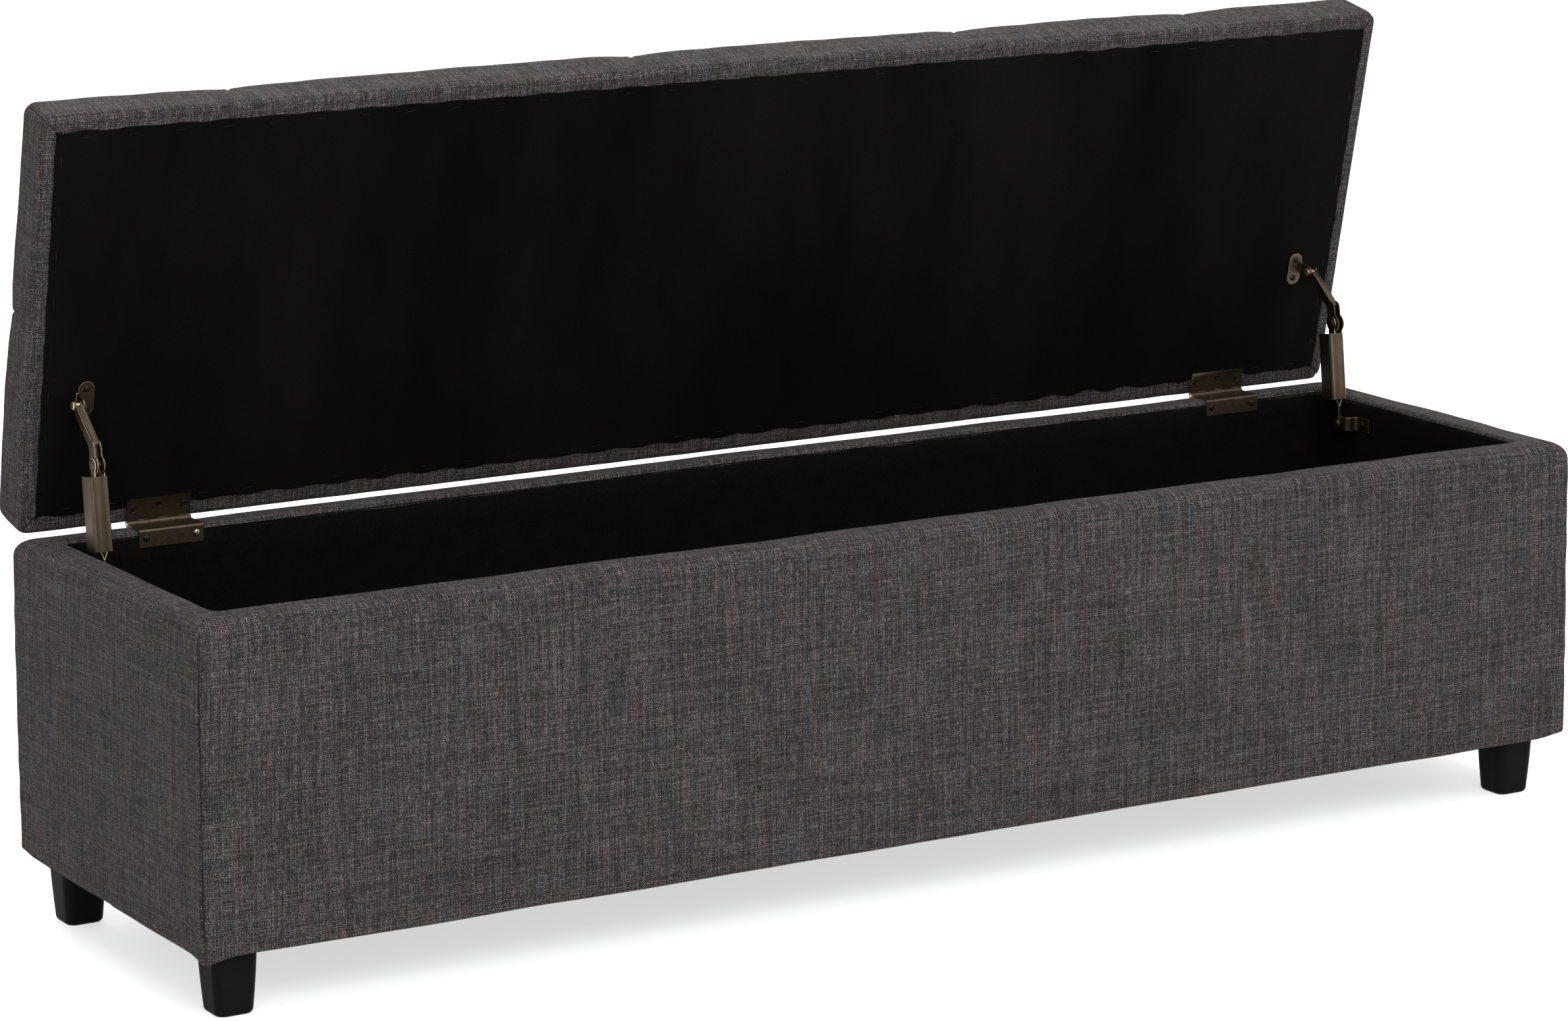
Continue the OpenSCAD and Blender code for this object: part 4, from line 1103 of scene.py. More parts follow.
def fold_distance(flat):
    """Distance from each point to the nearest fold, and to the nearest button's middle."""
    nearest = np.full(len(flat), 1e9)
    for a, b in folds():
        d = b - a
        t = np.clip(((flat - a) @ d) / (d @ d), 0, 1)
        nearest = np.minimum(nearest, np.linalg.norm(flat - a - t[:, None] * d, axis=1))
    button = np.min([np.linalg.norm(flat - np.array(b), axis=1) for b in BUTTONS], axis=0)
    return nearest, button


def lid_profile(sink):
    """Section of the lid from its lip underneath, round the edge and up to the start of its top."""
    r, e = LID_R, LID_EDGE_R
    z0, z1 = LID_Z0 + sink, LID_Z1 - sink
    out = [(d, z0, 4 + 8 * smooth_step(LID_LIP - d, 0, 27)) for d in (LID_LIP, 27, 20, 15, 10)]
    out += [(d, z, LID_PLAN_R) for d, z in quarter(e, z0 + e, e - sink, -90, 0, 4)]
    out += [(sink, z, LID_PLAN_R) for z in np.linspace(z0 + e, z1 - r + sink, 7)[1:-1]]
    out += [(d, z, LID_PLAN_R - (LID_PLAN_R - 6) * smooth_step(d, 0, r)) for d, z in
            quarter(r, z1 - r + sink, r - sink, 0, 90, 7)]
    return out


def lid_form(step, cells, sink):
    """Form of the closed lid, its cells and step setting how fine it is and sink how far inside the cloth.

    Gives points, normals, faces, cloth uvs and each point's run along the cloth past the top, 0 on the top.
    """
    near = [0, 2.4, 5.4, 10] if step < 12 else [0, 8]
    along_x = stations(2 * (LID_X - LID_R), near, step)
    along_y = stations(2 * (LID_Y - LID_R), near, step)
    profile = lid_profile(sink)
    arc = 2 * cells
    points, normals, faces, uvs, columns = ring_of_loops(profile, LID_X, LID_Y, along_x, along_y, arc, False)
    run = run_length(profile)
    past = np.repeat(run[-1] - run, columns)
    wall = plan_loop(LID_X, LID_Y, LID_PLAN_R, along_x, along_y, arc)[4]
    # The side cloth is laid out as it unfolds from the top
    w = np.tile(wall, len(profile) - 1)[:, None]
    u, v = uvs[..., 0] - WALL_APART * w, run[-1] - uvs[..., 1]
    hx, hy = LID_X - LID_R, LID_Y - LID_R
    uvs = np.stack([np.choose(w, [u, hx + v, -u, -hx - v]), np.choose(w, [-hy - v, u, hy + v, -u])], axis=-1)
    # The top: a grid whose corner cells follow the rounded corners
    r_top, nx, ny, c = profile[-1][2], len(along_x) - 1, len(along_y) - 1, cells
    edge = np.arange(1, c + 1) / c

    def lines(half, fractions):
        inner = (2 * fractions - 1) * (half - r_top)
        return np.concatenate([-(half - r_top) - r_top * edge[::-1], inner, half - r_top + r_top * edge])

    gx, gy = lines(hx, along_x), lines(hy, along_y)
    ids = -np.ones((len(gy), len(gx)), int)
    last = (len(profile) - 1) * columns
    right, back = 2 * c + nx, 2 * c + ny
    path = [(c + i, 0) for i in range(nx + c + 1)]
    path += [(right, j) for j in range(1, back + 1)]
    path += [(right - i, back) for i in range(1, right + 1)]
    path += [(0, back - j) for j in range(1, back + 1)]
    path += [(i, 0) for i in range(1, c)]
    for k, (i, j) in enumerate(path):
        ids[j, i] = last + k
    grid = []
    for j in range(len(gy)):
        for i in range(len(gx)):
            if ids[j, i] >= 0:
                continue
            x, y = gx[i], gy[j]
            a, b = (abs(x) - (hx - r_top)) / r_top, (abs(y) - (hy - r_top)) / r_top
            if a > 0 and b > 0:
                m = max(a, b)
                angle = math.pi / 4 * (b / a) if a >= b else math.pi / 2 - math.pi / 4 * (a / b)
                x = math.copysign(hx - r_top + r_top * m * math.cos(angle), x)
                y = math.copysign(hy - r_top + r_top * m * math.sin(angle), y)
            ids[j, i] = len(points) + len(grid)
            grid.append((x, y, LID_Z1 - sink))
    points = np.concatenate([points, grid])
    normals = np.concatenate([normals, np.tile([0.0, 0.0, 1.0], (len(grid), 1))])
    past = np.concatenate([past, np.zeros(len(grid))])
    corners = (ids[:-1, :-1], ids[:-1, 1:], ids[1:, 1:], ids[1:, :-1])
    top = np.column_stack([corner.ravel() for corner in corners])
    faces = np.concatenate([faces, top])
    uvs = np.concatenate([uvs.reshape(-1, 2), points[top.ravel(), :2]])
    return points, normals, faces, uvs, past


def tufted(points, normals, past):
    """Pulls the lid's cloth down at the buttons and along the folds, and lets it rise between them."""
    flat = points[:, :2]
    fold, button = fold_distance(flat)
    depth = sizes().valley / MM
    fade = 1 - smooth_step(past, 6, 52)
    valley = depth * np.exp(-fold / 21) * (0.35 + 0.65 * fade) * fade
    well = WELL * np.exp(-np.maximum(button - 11, 0) / 12) * (past < 1)
    rise = sizes().crown / MM * (1 - np.exp(-(fold / 46) ** 2)) * (1 - smooth_step(past, 0, 16))
    rise *= smooth_step(np.minimum(LID_X - np.abs(flat[:, 0]), LID_Y - np.abs(flat[:, 1])), 8, 60)
    drop = (valley ** 3 + well ** 3) ** (1 / 3) - rise
    return points - normals * drop[:, None], fold, button


def drawn_in(points):
    """Draws the lid's ends in towards its middle, most at the left and near its free edge.

    That edge goes in at the left and a little out at the right.
    """
    p = points.copy()
    off_board = 0.25 + 0.75 * smooth_step(points[:, 2], LID_Z0, LID_Z0 + 45)
    free = smooth_step(-points[:, 1], -60, LID_Y) * off_board
    left, right = smooth_step(-points[:, 0], 420, LID_X), smooth_step(points[:, 0], 420, LID_X)
    p[:, 0] += free * (4.6 * left - 1.4 * right)
    front = smooth_step(-points[:, 1], 60, LID_Y) * off_board
    p[:, 1] += front * (2.6 * smooth_step(-points[:, 0], 100, LID_X) - 0.8 * right)
    return p


def blow_up(obj, pinned, cap):
    """Cloth simulation: the padding presses the cloth out where it is not pinned, by no more than cap."""
    start = points_of(obj.data)
    group = obj.vertex_groups.new(name="held")
    for step in range(0, 11):
        share = step / 10
        chosen = np.nonzero(np.round(pinned * 10) == step)[0]
        if len(chosen):
            group.add(chosen.tolist(), share, "REPLACE")
    cloth = obj.modifiers.new("Cloth", "CLOTH")
    s = cloth.settings
    s.quality = 6
    s.mass = 0.25
    s.tension_stiffness = s.compression_stiffness = 22
    s.shear_stiffness = 12
    s.bending_stiffness = 1.2
    s.tension_damping = s.compression_damping = 8
    s.shear_damping = 8
    s.air_damping = 2
    s.use_pressure = True
    s.uniform_pressure_force = 4.0
    s.vertex_group_mass = "held"
    s.pin_stiffness = 1.0
    s.shrink_min = -0.012
    s.effector_weights.gravity = 0
    cloth.collision_settings.use_collision = False
    cloth.point_cache.frame_start, cloth.point_cache.frame_end = 1, 20
    scene = bpy.context.scene
    for f in range(1, 21):
        scene.frame_set(f)
    moved = obj.evaluated_get(bpy.context.evaluated_depsgraph_get()).to_mesh()
    end = points_of(moved)
    obj.evaluated_get(bpy.context.evaluated_depsgraph_get()).to_mesh_clear()
    obj.modifiers.remove(cloth)
    obj.vertex_groups.remove(group)
    scene.frame_set(1)
    shift = end - start
    length = np.linalg.norm(shift, axis=1)
    shift *= np.minimum(1, cap / np.maximum(length, 1e-9))[:, None]
    set_points(obj.data, start + shift * (1 - pinned)[:, None])


def apply_modifiers(obj):
    """Makes a piece's modifiers part of its mesh."""
    mesh = bpy.data.meshes.new_from_object(obj.evaluated_get(bpy.context.evaluated_depsgraph_get()))
    obj.modifiers.clear()
    obj.data = mesh


def make_lid_cover():
    """Tufted cover of the lid, with its folds, the gathers round its buttons and its corner seams."""
    points, normals, faces, uvs, past = lid_form(step=7, cells=4, sink=0)
    points, fold, button = tufted(points, normals, past)
    obj = new_piece("lid_upholstery", points, faces, ["upholstery"], uvs)
    pinned = np.clip(np.exp(-(fold / 7) ** 2) * 0.9 * (past < 30), 0, 1)
    pinned = np.maximum(pinned, smooth_step(17 - button, -9, 1))
    pinned = np.maximum(pinned, smooth_step(past, 10, 26))
    blow_up(obj, pinned, 6 * MM)
    sub = obj.modifiers.new("Smooth", "SUBSURF")
    sub.levels = sub.render_levels = 1
    apply_modifiers(obj)
    mesh = obj.data
    co = points_of(mesh) / MM
    flat, z = co[:, :2], co[:, 2]
    fold, button = fold_distance(flat)
    on_top = smooth_step(z, LID_Z1 - 40, LID_Z1 - 10)
    away = smooth_step(button, BUTTON_R + 1, BUTTON_R + 12)
    # A sharp crease along each fold with a low swell beside it, and gathers that run out from each button
    creased = -1.9 * np.exp(-(fold / 2.1) ** 2) + 0.5 * np.exp(-((fold - 5) / 2.8) ** 2)
    move = creased * away * on_top
    nearest = np.argmin([np.linalg.norm(flat - np.array(b), axis=1) for b in BUTTONS], axis=0)
    way = flat - np.array(BUTTONS, float)[nearest]
    spoke = np.cos(11 * np.arctan2(way[:, 1], way[:, 0]) + nearest * 1.7 + 1.6 * ripple(co, 60, 42))
    gathers = np.exp(-np.maximum(button - 15, 0) / 13) * smooth_step(button, 12, 17)
    move += 0.75 * spoke * gathers * smooth_step(z, 30, 50)
    # The mitred seams down the lid's corners, and slack in the cloth
    corner = mitre_distance(co, LID_X, LID_Y)
    at_corner = (np.abs(co[:, 0]) > LID_X - 36) & (np.abs(co[:, 1]) > LID_Y - 36)
    side = (1 - smooth_step(z, LID_Z1 - 22, LID_Z1 - 6)) * at_corner
    move += -0.85 * np.exp(-(corner / 1.2) ** 2) * side + 0.3 * np.exp(-((corner - 4) / 2.4) ** 2) * side
    border = 1 - smooth_step(z, LID_Z0 + 1, LID_Z0 + 12)
    move += (0.34 * ripple(co, 120, 43) + 0.2 * ripple(co, 38, 44)) * (1 - 0.6 * border)
    set_points(mesh, (co + normals_of(mesh) * move[:, None]) * MM)
    face_out(mesh, fill=True)
    mesh.polygons.foreach_set("use_smooth", [True] * len(mesh.polygons))
    # Painted shade: the cloth is darkened in each fold crease and in a ring round each button; along the
    # corner seams it is the seam line with painted shade in its groove.
    seam_and_crease_shade = 0.6 * np.exp(-(corner / 0.8) ** 2) * side
    painted_crease_shade = 0.55 * np.exp(-(fold / 1.5) ** 2) * away * on_top
    painted_crease_shade = np.maximum(painted_crease_shade, 0.75 * np.exp(-((button - BUTTON_R - 0.6) / 1.5) ** 2))
    mark(mesh, "seam_and_crease_shade", np.maximum(seam_and_crease_shade, painted_crease_shade))
    co = points_of(mesh) / MM
    co = drawn_in(co)
    # The side by the hinges is fuller, most of all at its corners
    hinged = smooth_step(co[:, 1], LID_Y - 14, LID_Y)
    full = 0.8 + 1.6 * np.exp(-(corner / 12) ** 2)
    co[:, 1] += hinged * (1.0 + smooth_step(co[:, 2], LID_Z0 + 2, LID_Z0 + 14) * full)
    co[:, 1] -= LID_Y
    set_points(mesh, to_open_lid(co) * MM)
    declare(obj, "lid", "upholstery", "lid_cover")


def make_lid_foam():
    """The lid's foam: the same form under its cloth, down to the board."""
    points, normals, faces, _, past = lid_form(step=18, cells=2, sink=6)
    points, _, _ = tufted(points, normals, past)
    points = drawn_in(points)
    points[:, :2] *= [1 - 3.0 / LID_X, 1 - 3.0 / LID_Y]
    points[:, 2] = np.minimum(points[:, 2], LID_Z1 - 9)
    z = points[:, 2]
    pressed = BOARD_TOP + 0.1 * (z - LID_Z0) / (BOARD_TOP - LID_Z0)
    points[:, 2] = np.where(z < BOARD_TOP, pressed, z)
    points[:, 1] -= LID_Y
    obj = new_piece("lid_foam_pad", to_open_lid(points), faces, ["foam"])
    face_out(obj.data, fill=True)
    declare(obj, "lid", "foam", "lid_foam")


def make_lid_buttons():
    """Cloth-covered buttons: a low dome with a tucked edge, repeated over the lid."""
    profile = [(3, 3.3), (6, 2.95), (8.6, 2.3), (10.6, 1.35), (11.9, 0.2), (12.4, -1.2), (12.2, -2.6),
               (11.2, -3.4)]
    cloth_run = [3, 6, 9.2, 11.5, 13.3, 14.8, 16.2, 17.5]
    around = 40
    angles = np.arange(around) * 2 * math.pi / around
    points, flat = [(0.0, 0.0, 3.4)], [(0.0, 0.0)]
    for (r, z), out in zip(profile, cloth_run):
        points += [(r * math.cos(a), r * math.sin(a), z) for a in angles]
        flat += [(out * math.cos(a), out * math.sin(a)) for a in angles]
    points.append((0.0, 0.0, -3.4))
    flat.append((0.0, 20.0))
    here = 1 + np.arange(around)
    after = np.roll(here, -1)
    faces = [(0, a, b) for a, b in zip(here, after)]
    for start in around * np.arange(len(profile) - 1):
        below = start + around
        faces += [(start + a, below + a, below + b, start + b) for a, b in zip(here, after)]
    end = around * (len(profile) - 1)
    faces += [(end + a, len(points) - 1, end + b) for a, b in zip(here, after)]
    uvs = [flat[i] for f in faces for i in f]
    shape = new_piece("button_shape", points, faces, ["upholstery"], uvs)
    mark(shape.data, "seam_and_crease_shade", [0.0] * len(points))
    places = [(x * MM, (y - LID_Y) * MM, (LID_Z1 - 7.0) * MM) for x, y in BUTTONS]
    mesh = place_points("buttons_at", places, [(0, 0, 0)] * len(places))
    obj = bake_tree("lid_cloth_buttons", button_tree(), mesh, {
        "Button": shape, "Spin": 0.35, "Seed": 5, "Material": finish("upholstery")})
    bpy.data.objects.remove(shape)
    obj.data.transform(lid_matrix())
    declare(obj, "lid", "upholstery", "lid_buttons")


def make_lid_net():
    """Dust cloth under the lid, its turned hem pulled in by the staples."""
    half = np.array([LID_X - LID_BORDER, LID_Y - LID_BORDER])
    near = [0, 1.2, 3, 6, 9, 12]
    fx, fy = stations(2 * half[0], near, 7.6), stations(2 * half[1], near, 7.6)
    xs, ys = np.meshgrid((2 * fx - 1) * half[0], (2 * fy - 1) * half[1])
    flat = np.column_stack([xs.ravel(), ys.ravel()])
    rim_x, rim_y = half[0] - np.abs(flat[:, 0]), half[1] - np.abs(flat[:, 1])
    rim = np.minimum(rim_x, rim_y)
    points = np.column_stack([flat, np.full(len(flat), float(LID_GAP))])
    row_x, row_y = half - LID_STAPLE_IN
    pitch_x, pitch_y = (2 * row / round(2 * row / LID_STAPLE_PITCH) for row in (row_x, row_y))
    between_x = 0.5 + 0.5 * np.cos(2 * math.pi * (flat[:, 0] + row_x) / pitch_x)
    between_y = 0.5 + 0.5 * np.cos(2 * math.pi * (flat[:, 1] + row_y) / pitch_y)
    hinge_side = flat[:, 1] > 0
    loose = np.where(hinge_side, 3.2, 1.2) * (0.6 + 0.6 * np.abs(ripple(points, 170, 51)))
    scallop = np.where(rim_y < rim_x, between_x * loose, between_y * 0.8)
    edge = np.exp(-rim / 9)
    points[:, 1] -= np.sign(flat[:, 1]) * scallop * edge * (rim_y < rim_x)
    points[:, 0] -= np.sign(flat[:, 0]) * scallop * edge * (rim_x <= rim_y)
    # The cloth lies flat under the hinges and the stays' brackets
    free = np.ones(len(flat))
    for s in (-1, 1):
        for x, y, reach_x, reach_y in ((s * HINGE_X, LID_Y, 55, 52), (s * (STAY_X - 8), LID_Y - 131, 34, 36)):
            gap = np.maximum(np.abs(flat[:, 0] - x) / reach_x, np.abs(flat[:, 1] - y) / reach_y)
            free *= smooth_step(gap, 0.8, 1.4)
    slack = 0.5 * np.exp(-rim / 26) * between_x * np.where(hinge_side, 1.8, 0.7)
    belly = smooth_step(rim, 10, 90) * (0.9 + 0.9 * ripple(points, 240, 52) + 0.42 * ripple(points, 70, 53))
    points[:, 2] -= np.maximum(slack + np.maximum(belly, 0), 0) * free
    faces = grid_faces(len(fx), len(fy))
    points[:, 1] -= LID_Y
    obj = new_piece("lid_dust_cloth", to_open_lid(points), faces, ["net"], flat[faces.ravel()])
    thicken(obj, 0.75)
    declare(obj, "lid", "dust_cloth", "lid_dust_cover")


def make_lid_staples():
    """Staples round the lid's dust cloth, but none under the hinges."""
    def under_leaf(x, y):
        return any(abs(x - s * HINGE_X) < 40 and y > LID_Y - 60 for s in (-1, 1))

    border = LID_BORDER + LID_STAPLE_IN
    places = staple_places(LID_X - border, LID_Y - border, LID_STAPLE_PITCH, under_leaf)
    z = (LID_GAP - 0.1) * MM
    mesh = place_points("lid_staples_at", [(x * MM, (y - LID_Y) * MM, z) for x, y, _ in places],
                        [(math.pi, 0, math.pi / 2 if turned else 0) for *_, turned in places])
    obj = bake_tree("lid_staples_driven", staple_tree(), mesh, {
        "Askew": sizes().staple_turn, "Seed": 3, "Material": finish("staple_wire")})
    obj.data.transform(lid_matrix())
    declare(obj, "lid", "zinc_steel", "lid_staples")


# ---- metalwork ----

def on_knuckle(at):
    """True on the barrel of a hinge, which takes the bright edge colour, partly wear and partly painted
    highlight.
    """
    return math.hypot(at.y - AXIS[1], at.z - AXIS[2]) < KNUCKLE_R + 0.05


def make_hinges():
    """Leaves and pins of both hinges."""
    for side in SIDES:
        # The hinge barrels and pins take the bright edge colour, partly wear and partly painted highlight.
        plated_copy("hinge_upper_leaf_" + side, "lid", rubbed_and_highlit=on_knuckle)
        plated_copy("hinge_lower_leaf_" + side, "box", rubbed_and_highlit=on_knuckle)
        plated_copy("hinge_pin_" + side, "box", ("worn_and_highlit_brass",), width=0.2 * MM)


def make_stays():
    """Brackets, arms, spring covers and rivets of both stays."""
    for side in SIDES:
        plated_copy("stay_lid_bracket_" + side, "lid")
        # The lid rivet is all in the bright edge colour, partly wear and partly painted highlight.
        plated_copy("stay_lid_rivet_" + side, "lid", ("worn_and_highlit_brass",), width=0.6 * MM)
        plated_copy("stay_upper_arm_" + side, "stay_upper_" + side)
        plated_copy("stay_lower_arm_" + side, "stay_lower_" + side, ("blade", "worn_and_highlit_brass"))
        plated_copy("stay_cover_" + side, "stay_lower_" + side, width=0.8 * MM)
        plated_copy("stay_knee_rivet_" + side, "stay_lower_" + side, ("brass",), width=0.6 * MM)
        plated_copy("stay_foot_rivet_" + side, "stay_lower_" + side, ("brass",), width=0.6 * MM)
        plated_copy("stay_base_bracket_" + side, "box")


def make_springs():
    """A spring in each stay's cover."""
    tree = spring_tree()
    length = (SPRING_TURNS - 1) * 1.7 * SPRING_WIRE + 2 * SPRING_WIRE
    for side, sign in SIDES.items():
        mesh = bpy.data.meshes.new("spring_start")
        mesh.from_pydata([(0, 0, 0)], [], [])
        obj = bake_tree("stay_spring_" + side + "_wound", tree, mesh, {
            "Turns": float(SPRING_TURNS), "Radius": (SPRING_R - SPRING_WIRE) * MM, "Length": length * MM,
            "Wire Radius": SPRING_WIRE * MM, "Material": finish("spring_wire")})
        for p in obj.data.polygons:
            p.use_smooth = True
        local = Matrix.Translation(Vector((0, -COVER_D / 2 + 2.2 + SPRING_R, 4 + SPRING_WIRE)) * MM)
        lean = Matrix.Rotation(-COVER_LEAN, 4, "X")
        foot = Vector((sign * STAY_X, AXIS[1] + COVER_FOOT[0], AXIS[2] + COVER_FOOT[1])) * MM
        obj.data.transform(Matrix.Translation(foot) @ lean @ local)
        declare(obj, "stay_lower_" + side, "spring_steel", "stay_spring_" + side)


PAN_HEAD = {"Head Radius": 3.3 * MM, "Head Height": 1.8 * MM, "Shank Length": 14 * MM}
FLUSH_HEAD = {"Head Radius": 3.25 * MM, "Head Height": 0.75 * MM, "Recess Depth": 0.9 * MM,
              "Shank Length": 13 * MM}


def drive_screws(tree, node, body, head, seed, places, turns, on_lid=False):
    """Screws at places in millimetres, each turned to stand out of its seat."""
    at = place_points(node + "_at", [Vector(p) * MM for p in places], turns)
    obj = bake_tree(node + "_driven", tree, at, {**head, "Seed": seed, "Material": finish("dark_screw")})
    if on_lid:
        obj.data.transform(lid_matrix())
    obj.data.materials.clear()
    obj.data.materials.append(finish("dark_screw"))
    for p in obj.data.polygons:
        p.use_smooth = True
        p.material_index = 0
    return declare(obj, body, "dark_screw", node)


def make_screws():
    """Pan heads through the lower leaves and the brackets, flush heads in the upper leaves."""
    tree, ends = screw_tree(), (-1, 1)
    seat_y, leaf_z = AXIS[1] - HINGE_BACK - LEAF_T, AXIS[2] - 8.5
    places = [(s * HINGE_X + t * LEAF_SCREW_X, seat_y, leaf_z) for s in ends for t in (-1, 1)]
    lower = drive_screws(tree, "hinge_lower_screws", "box", PAN_HEAD, 18, places, [(math.pi / 2, 0, 0)] * 4)
    # One screw of the left leaf has lost its blacking
    lower.data.materials.append(finish("bright_screw"))
    for p in lower.data.polygons:
        p.material_index = int(-HINGE_X < p.center.x / MM < 0)
    flush_z = LID_GAP - LEAF_T + 0.35
    holes = ((-LEAF_SCREW_X, -14), (0, -17), (LEAF_SCREW_X, -14))
    places = [(s * HINGE_X + x, y, flush_z) for s in ends for x, y in holes]
    drive_screws(tree, "hinge_upper_screws", "lid", FLUSH_HEAD, 18, places, [(math.pi, 0, 0)] * 6, True)
    places = [(s * (STAY_X - 14), y, LID_GAP - 1.5) for s in ends for y in (-121, -141.5)]
    drive_screws(tree, "stay_lid_screws", "lid", PAN_HEAD, 15, places, [(math.pi, 0, 0)] * 4, True)
    pivot_y, pivot_z = AXIS[1] + STAY_PIVOT[0], AXIS[2] + STAY_PIVOT[1]
    places = [(s * (HALF_L - WALL - STRIP_T), pivot_y - 23, pivot_z) for s in ends]
    turns = [(0, math.pi / 2, 0), (0, -math.pi / 2, 0)]
    drive_screws(tree, "stay_base_screws", "box", PAN_HEAD, 21, places, turns)


# ---- studio ----

CAMERA_AT = (-2.52669, -4.21490, 1.38373)
CAMERA_YAW, CAMERA_PITCH, CAMERA_ROLL = 0.53566, 0.21006, -0.00461
CAMERA_LENS = 119.385


def make_camera():
    """Camera in front and to the left, looking down a little into the open box."""
    sin_y, cos_y = math.sin(CAMERA_YAW), math.cos(CAMERA_YAW)
    sin_p, cos_p = math.sin(CAMERA_PITCH), math.cos(CAMERA_PITCH)
    forward = Vector((sin_y * cos_p, cos_y * cos_p, -sin_p))
    right = Vector((cos_y, -sin_y, 0))
    up = right.cross(forward)
    tilted = right * math.cos(CAMERA_ROLL) + up * math.sin(CAMERA_ROLL)
    upright = up * math.cos(CAMERA_ROLL) - right * math.sin(CAMERA_ROLL)
    data = bpy.data.cameras.new("studio_camera")
    data.lens = CAMERA_LENS
    data.sensor_width = 36
    data.clip_start, data.clip_end = 0.1, 60
    camera = link(bpy.data.objects.new("studio_camera", data))
    m = Matrix((tilted, upright, -forward)).transposed().to_4x4()
    m.translation = Vector(CAMERA_AT)
    camera.matrix_world = m
    bpy.context.scene.camera = camera


def make_world():
    """White surroundings for the eye, in gloss and through glass, and a dimmer even light for the rest."""
    world = bpy.data.worlds.new("studio_white")
    bpy.context.scene.world = world
    world.use_nodes = True
    tree = world.node_tree
    tree.nodes.clear()
    path = tree.nodes.new("ShaderNodeLightPath")
    through, seen = tree.nodes.new("ShaderNodeMath"), tree.nodes.new("ShaderNodeMath")
    through.operation = seen.operation = "MAXIMUM"
    tree.links.new(path.outputs["Is Camera Ray"], through.inputs[0])
    tree.links.new(path.outputs["Is Transmission Ray"], through.inputs[1])
    tree.links.new(through.outputs[0], seen.inputs[0])
    tree.links.new(path.outputs["Is Glossy Ray"], seen.inputs[1])
    backdrop, light = tree.nodes.new("ShaderNodeBackground"), tree.nodes.new("ShaderNodeBackground")
    backdrop.inputs[0].default_value = (1, 1, 1, 1)
    backdrop.inputs[1].default_value = 1.0
    light.inputs[0].default_value = (0.98, 0.99, 1.0, 1)
    light.inputs[1].default_value = ROOM_LIGHT
    mix = tree.nodes.new("ShaderNodeMixShader")
    tree.links.new(seen.outputs[0], mix.inputs[0])
    tree.links.new(light.outputs[0], mix.inputs[1])
    tree.links.new(backdrop.outputs[0], mix.inputs[2])
    output = tree.nodes.new("ShaderNodeOutputWorld")
    tree.links.new(mix.outputs[0], output.inputs["Surface"])


def make_floor():
    """Pale floor that keeps the bench's shadow and is clear from below."""
    g = Graph("studio_floor")
    path = g.add("ShaderNodeLightPath")
    through = g.math("MAXIMUM", path.outputs["Is Camera Ray"], path.outputs["Is Transmission Ray"])
    seen = g.math("MAXIMUM", through, path.outputs["Is Glossy Ray"])
    paper = g.add("ShaderNodeBsdfDiffuse", {"Color": (0.86, 0.86, 0.86, 1)})
    glow = g.add("ShaderNodeEmission", {"Color": (1, 1, 1, 1), "Strength": ROOM_LIGHT})
    lit = g.add("ShaderNodeAddShader", {0: paper.outputs[0], 1: glow.outputs[0]})
    above = g.add("ShaderNodeMixShader", {0: seen, 1: paper.outputs[0], 2: lit.outputs[0]})
    clear = g.add("ShaderNodeBsdfTransparent")
    under = g.add("ShaderNodeNewGeometry").outputs["Backfacing"]
    both = g.add("ShaderNodeMixShader", {0: under, 1: above.outputs[0], 2: clear.outputs[0]})
    output = g.add("ShaderNodeOutputMaterial")
    g.tree.links.new(both.outputs[0], output.inputs["Surface"])
    mesh = bpy.data.meshes.new("studio_floor")
    corners = [(x * FLOOR_REACH, y * FLOOR_REACH, 0) for x, y in ((-1, -1), (1, -1), (1, 1), (-1, 1))]
    mesh.from_pydata(corners, [], [(0, 1, 2, 3)])
    mesh.materials.append(g.material)
    floor = link(bpy.data.objects.new("studio_floor", mesh))


def make_lamp(name, at, aim, width, height, watts):
    """A softbox at one place, turned to another."""
    data = bpy.data.lights.new(name, "AREA")
    data.shape = "RECTANGLE"
    data.size, data.size_y = width, height
    data.energy = watts
    lamp = link(bpy.data.objects.new(name, data))
    lamp.location = at
    lamp.rotation_mode = "QUATERNION"
    lamp.rotation_quaternion = (Vector(aim) - Vector(at)).to_track_quat("-Z", "Y")


# ---- operators ----

class BENCH_OT_stage(bpy.types.Operator):
    """Camera, lamps, white surroundings and floor"""
    bl_idname = "bench.stage"
    bl_label = "Stage"

    def execute(self, context):
        make_camera()
        make_world()
        make_floor()
        for lamp in LAMPS:
            make_lamp(*lamp)
        context.scene.view_settings.view_transform = "Standard"
        return {"FINISHED"}


class BENCH_OT_body_cover(bpy.types.Operator):
    """Woven cover of the padded box, with its corner seams and rolled rim"""
    bl_idname = "bench.body_cover"
    bl_label = "Box Cover"

    def execute(self, context):
        make_body_cover()
        return {"FINISHED"}


class BENCH_OT_body_core(bpy.types.Operator):
    """Panels, foam, bolts and screws inside the box"""
    bl_idname = "bench.body_core"
    bl_label = "Box Core"

    def execute(self, context):
        make_wall_foam()
        for node in ("front_panel", "back_panel", "left_end_panel", "right_end_panel", "bottom_board"):
            dress(node, "plywood")
        dress("panel_screws", "yellow_zinc")
        for node in ("foot_bolts", "tee_nuts"):
            dress(node, "zinc")
        return {"FINISHED"}


class BENCH_OT_lining(bpy.types.Operator):
    """Felt lining of the storage room"""
    bl_idname = "bench.lining"
    bl_label = "Lining"

    def execute(self, context):
        make_lining()
        return {"FINISHED"}


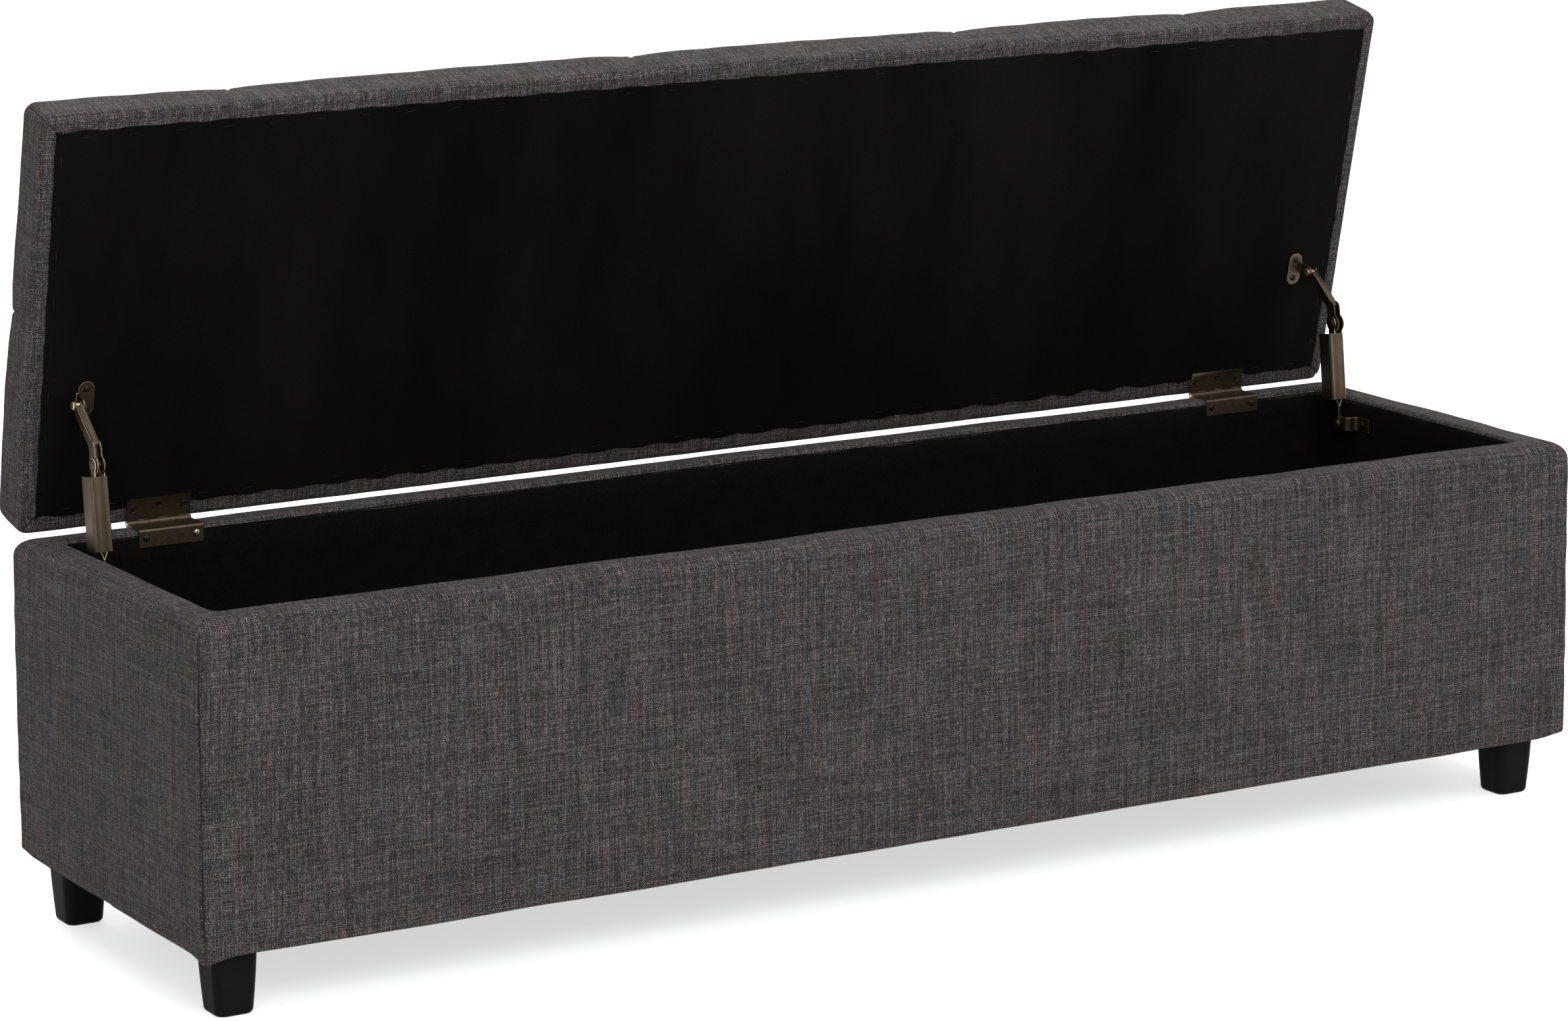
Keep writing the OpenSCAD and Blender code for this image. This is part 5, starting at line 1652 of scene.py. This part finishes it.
class BENCH_OT_bottom(bpy.types.Operator):
    """Dust cloth and staples under the box"""
    bl_idname = "bench.bottom"
    bl_label = "Underside"

    def execute(self, context):
        make_bottom_net()
        make_bottom_staples()
        return {"FINISHED"}


class BENCH_OT_feet(bpy.types.Operator):
    """Four moulded feet"""
    bl_idname = "bench.feet"
    bl_label = "Feet"

    def execute(self, context):
        make_feet()
        return {"FINISHED"}


class BENCH_OT_lid_cover(bpy.types.Operator):
    """Tufted woven cover of the lid"""
    bl_idname = "bench.lid_cover"
    bl_label = "Lid Cover"

    def execute(self, context):
        make_lid_cover()
        make_lid_buttons()
        return {"FINISHED"}


class BENCH_OT_lid_core(bpy.types.Operator):
    """Board, foam and button ties inside the lid"""
    bl_idname = "bench.lid_core"
    bl_label = "Lid Core"

    def execute(self, context):
        make_lid_foam()
        dress("lid_board", "lid_plywood")
        dress("button_ties", "twine")
        return {"FINISHED"}


class BENCH_OT_lid_underside(bpy.types.Operator):
    """Dust cloth and staples under the lid"""
    bl_idname = "bench.lid_underside"
    bl_label = "Lid Underside"

    def execute(self, context):
        make_lid_net()
        make_lid_staples()
        return {"FINISHED"}


class BENCH_OT_hinges(bpy.types.Operator):
    """Cranked hinges in antique brass"""
    bl_idname = "bench.hinges"
    bl_label = "Hinges"

    def execute(self, context):
        make_hinges()
        return {"FINISHED"}


class BENCH_OT_stays(bpy.types.Operator):
    """Folding lid stays with their spring covers"""
    bl_idname = "bench.stays"
    bl_label = "Lid Stays"

    def execute(self, context):
        make_stays()
        make_springs()
        return {"FINISHED"}


class BENCH_OT_screws(bpy.types.Operator):
    """Screws of the hinges and the stays"""
    bl_idname = "bench.screws"
    bl_label = "Screws"

    def execute(self, context):
        make_screws()
        return {"FINISHED"}


class BENCH_PT_panel(bpy.types.Panel):
    """Buttons for each piece of the bench"""
    bl_label = "Storage Bench"
    bl_idname = "BENCH_PT_panel"
    bl_space_type = "VIEW_3D"
    bl_region_type = "UI"
    bl_category = "Bench"

    def draw(self, context):
        for group in (context.scene.bench_sizes, context.scene.bench_colours):
            for name in group.__annotations__:
                self.layout.prop(group, name)
        for operator in OPERATORS:
            self.layout.operator(operator.bl_idname)


OPERATORS = (BENCH_OT_stage, BENCH_OT_body_cover, BENCH_OT_body_core, BENCH_OT_lining, BENCH_OT_bottom,
             BENCH_OT_feet, BENCH_OT_lid_cover, BENCH_OT_lid_core, BENCH_OT_lid_underside, BENCH_OT_hinges,
             BENCH_OT_stays, BENCH_OT_screws)
CLASSES = (BenchSizes, BenchColours, *OPERATORS, BENCH_PT_panel)


def register():
    for cls in CLASSES:
        bpy.utils.register_class(cls)
    bpy.types.Scene.bench_sizes = bpy.props.PointerProperty(type=BenchSizes)
    bpy.types.Scene.bench_colours = bpy.props.PointerProperty(type=BenchColours)


def unregister():
    del bpy.types.Scene.bench_colours
    del bpy.types.Scene.bench_sizes
    for cls in reversed(CLASSES):
        bpy.utils.unregister_class(cls)


def main():
    register()
    for operator in OPERATORS:
        name = operator.bl_idname.split(".")[1]
        getattr(bpy.ops.bench, name)()


if __name__ == "__main__":
    main()
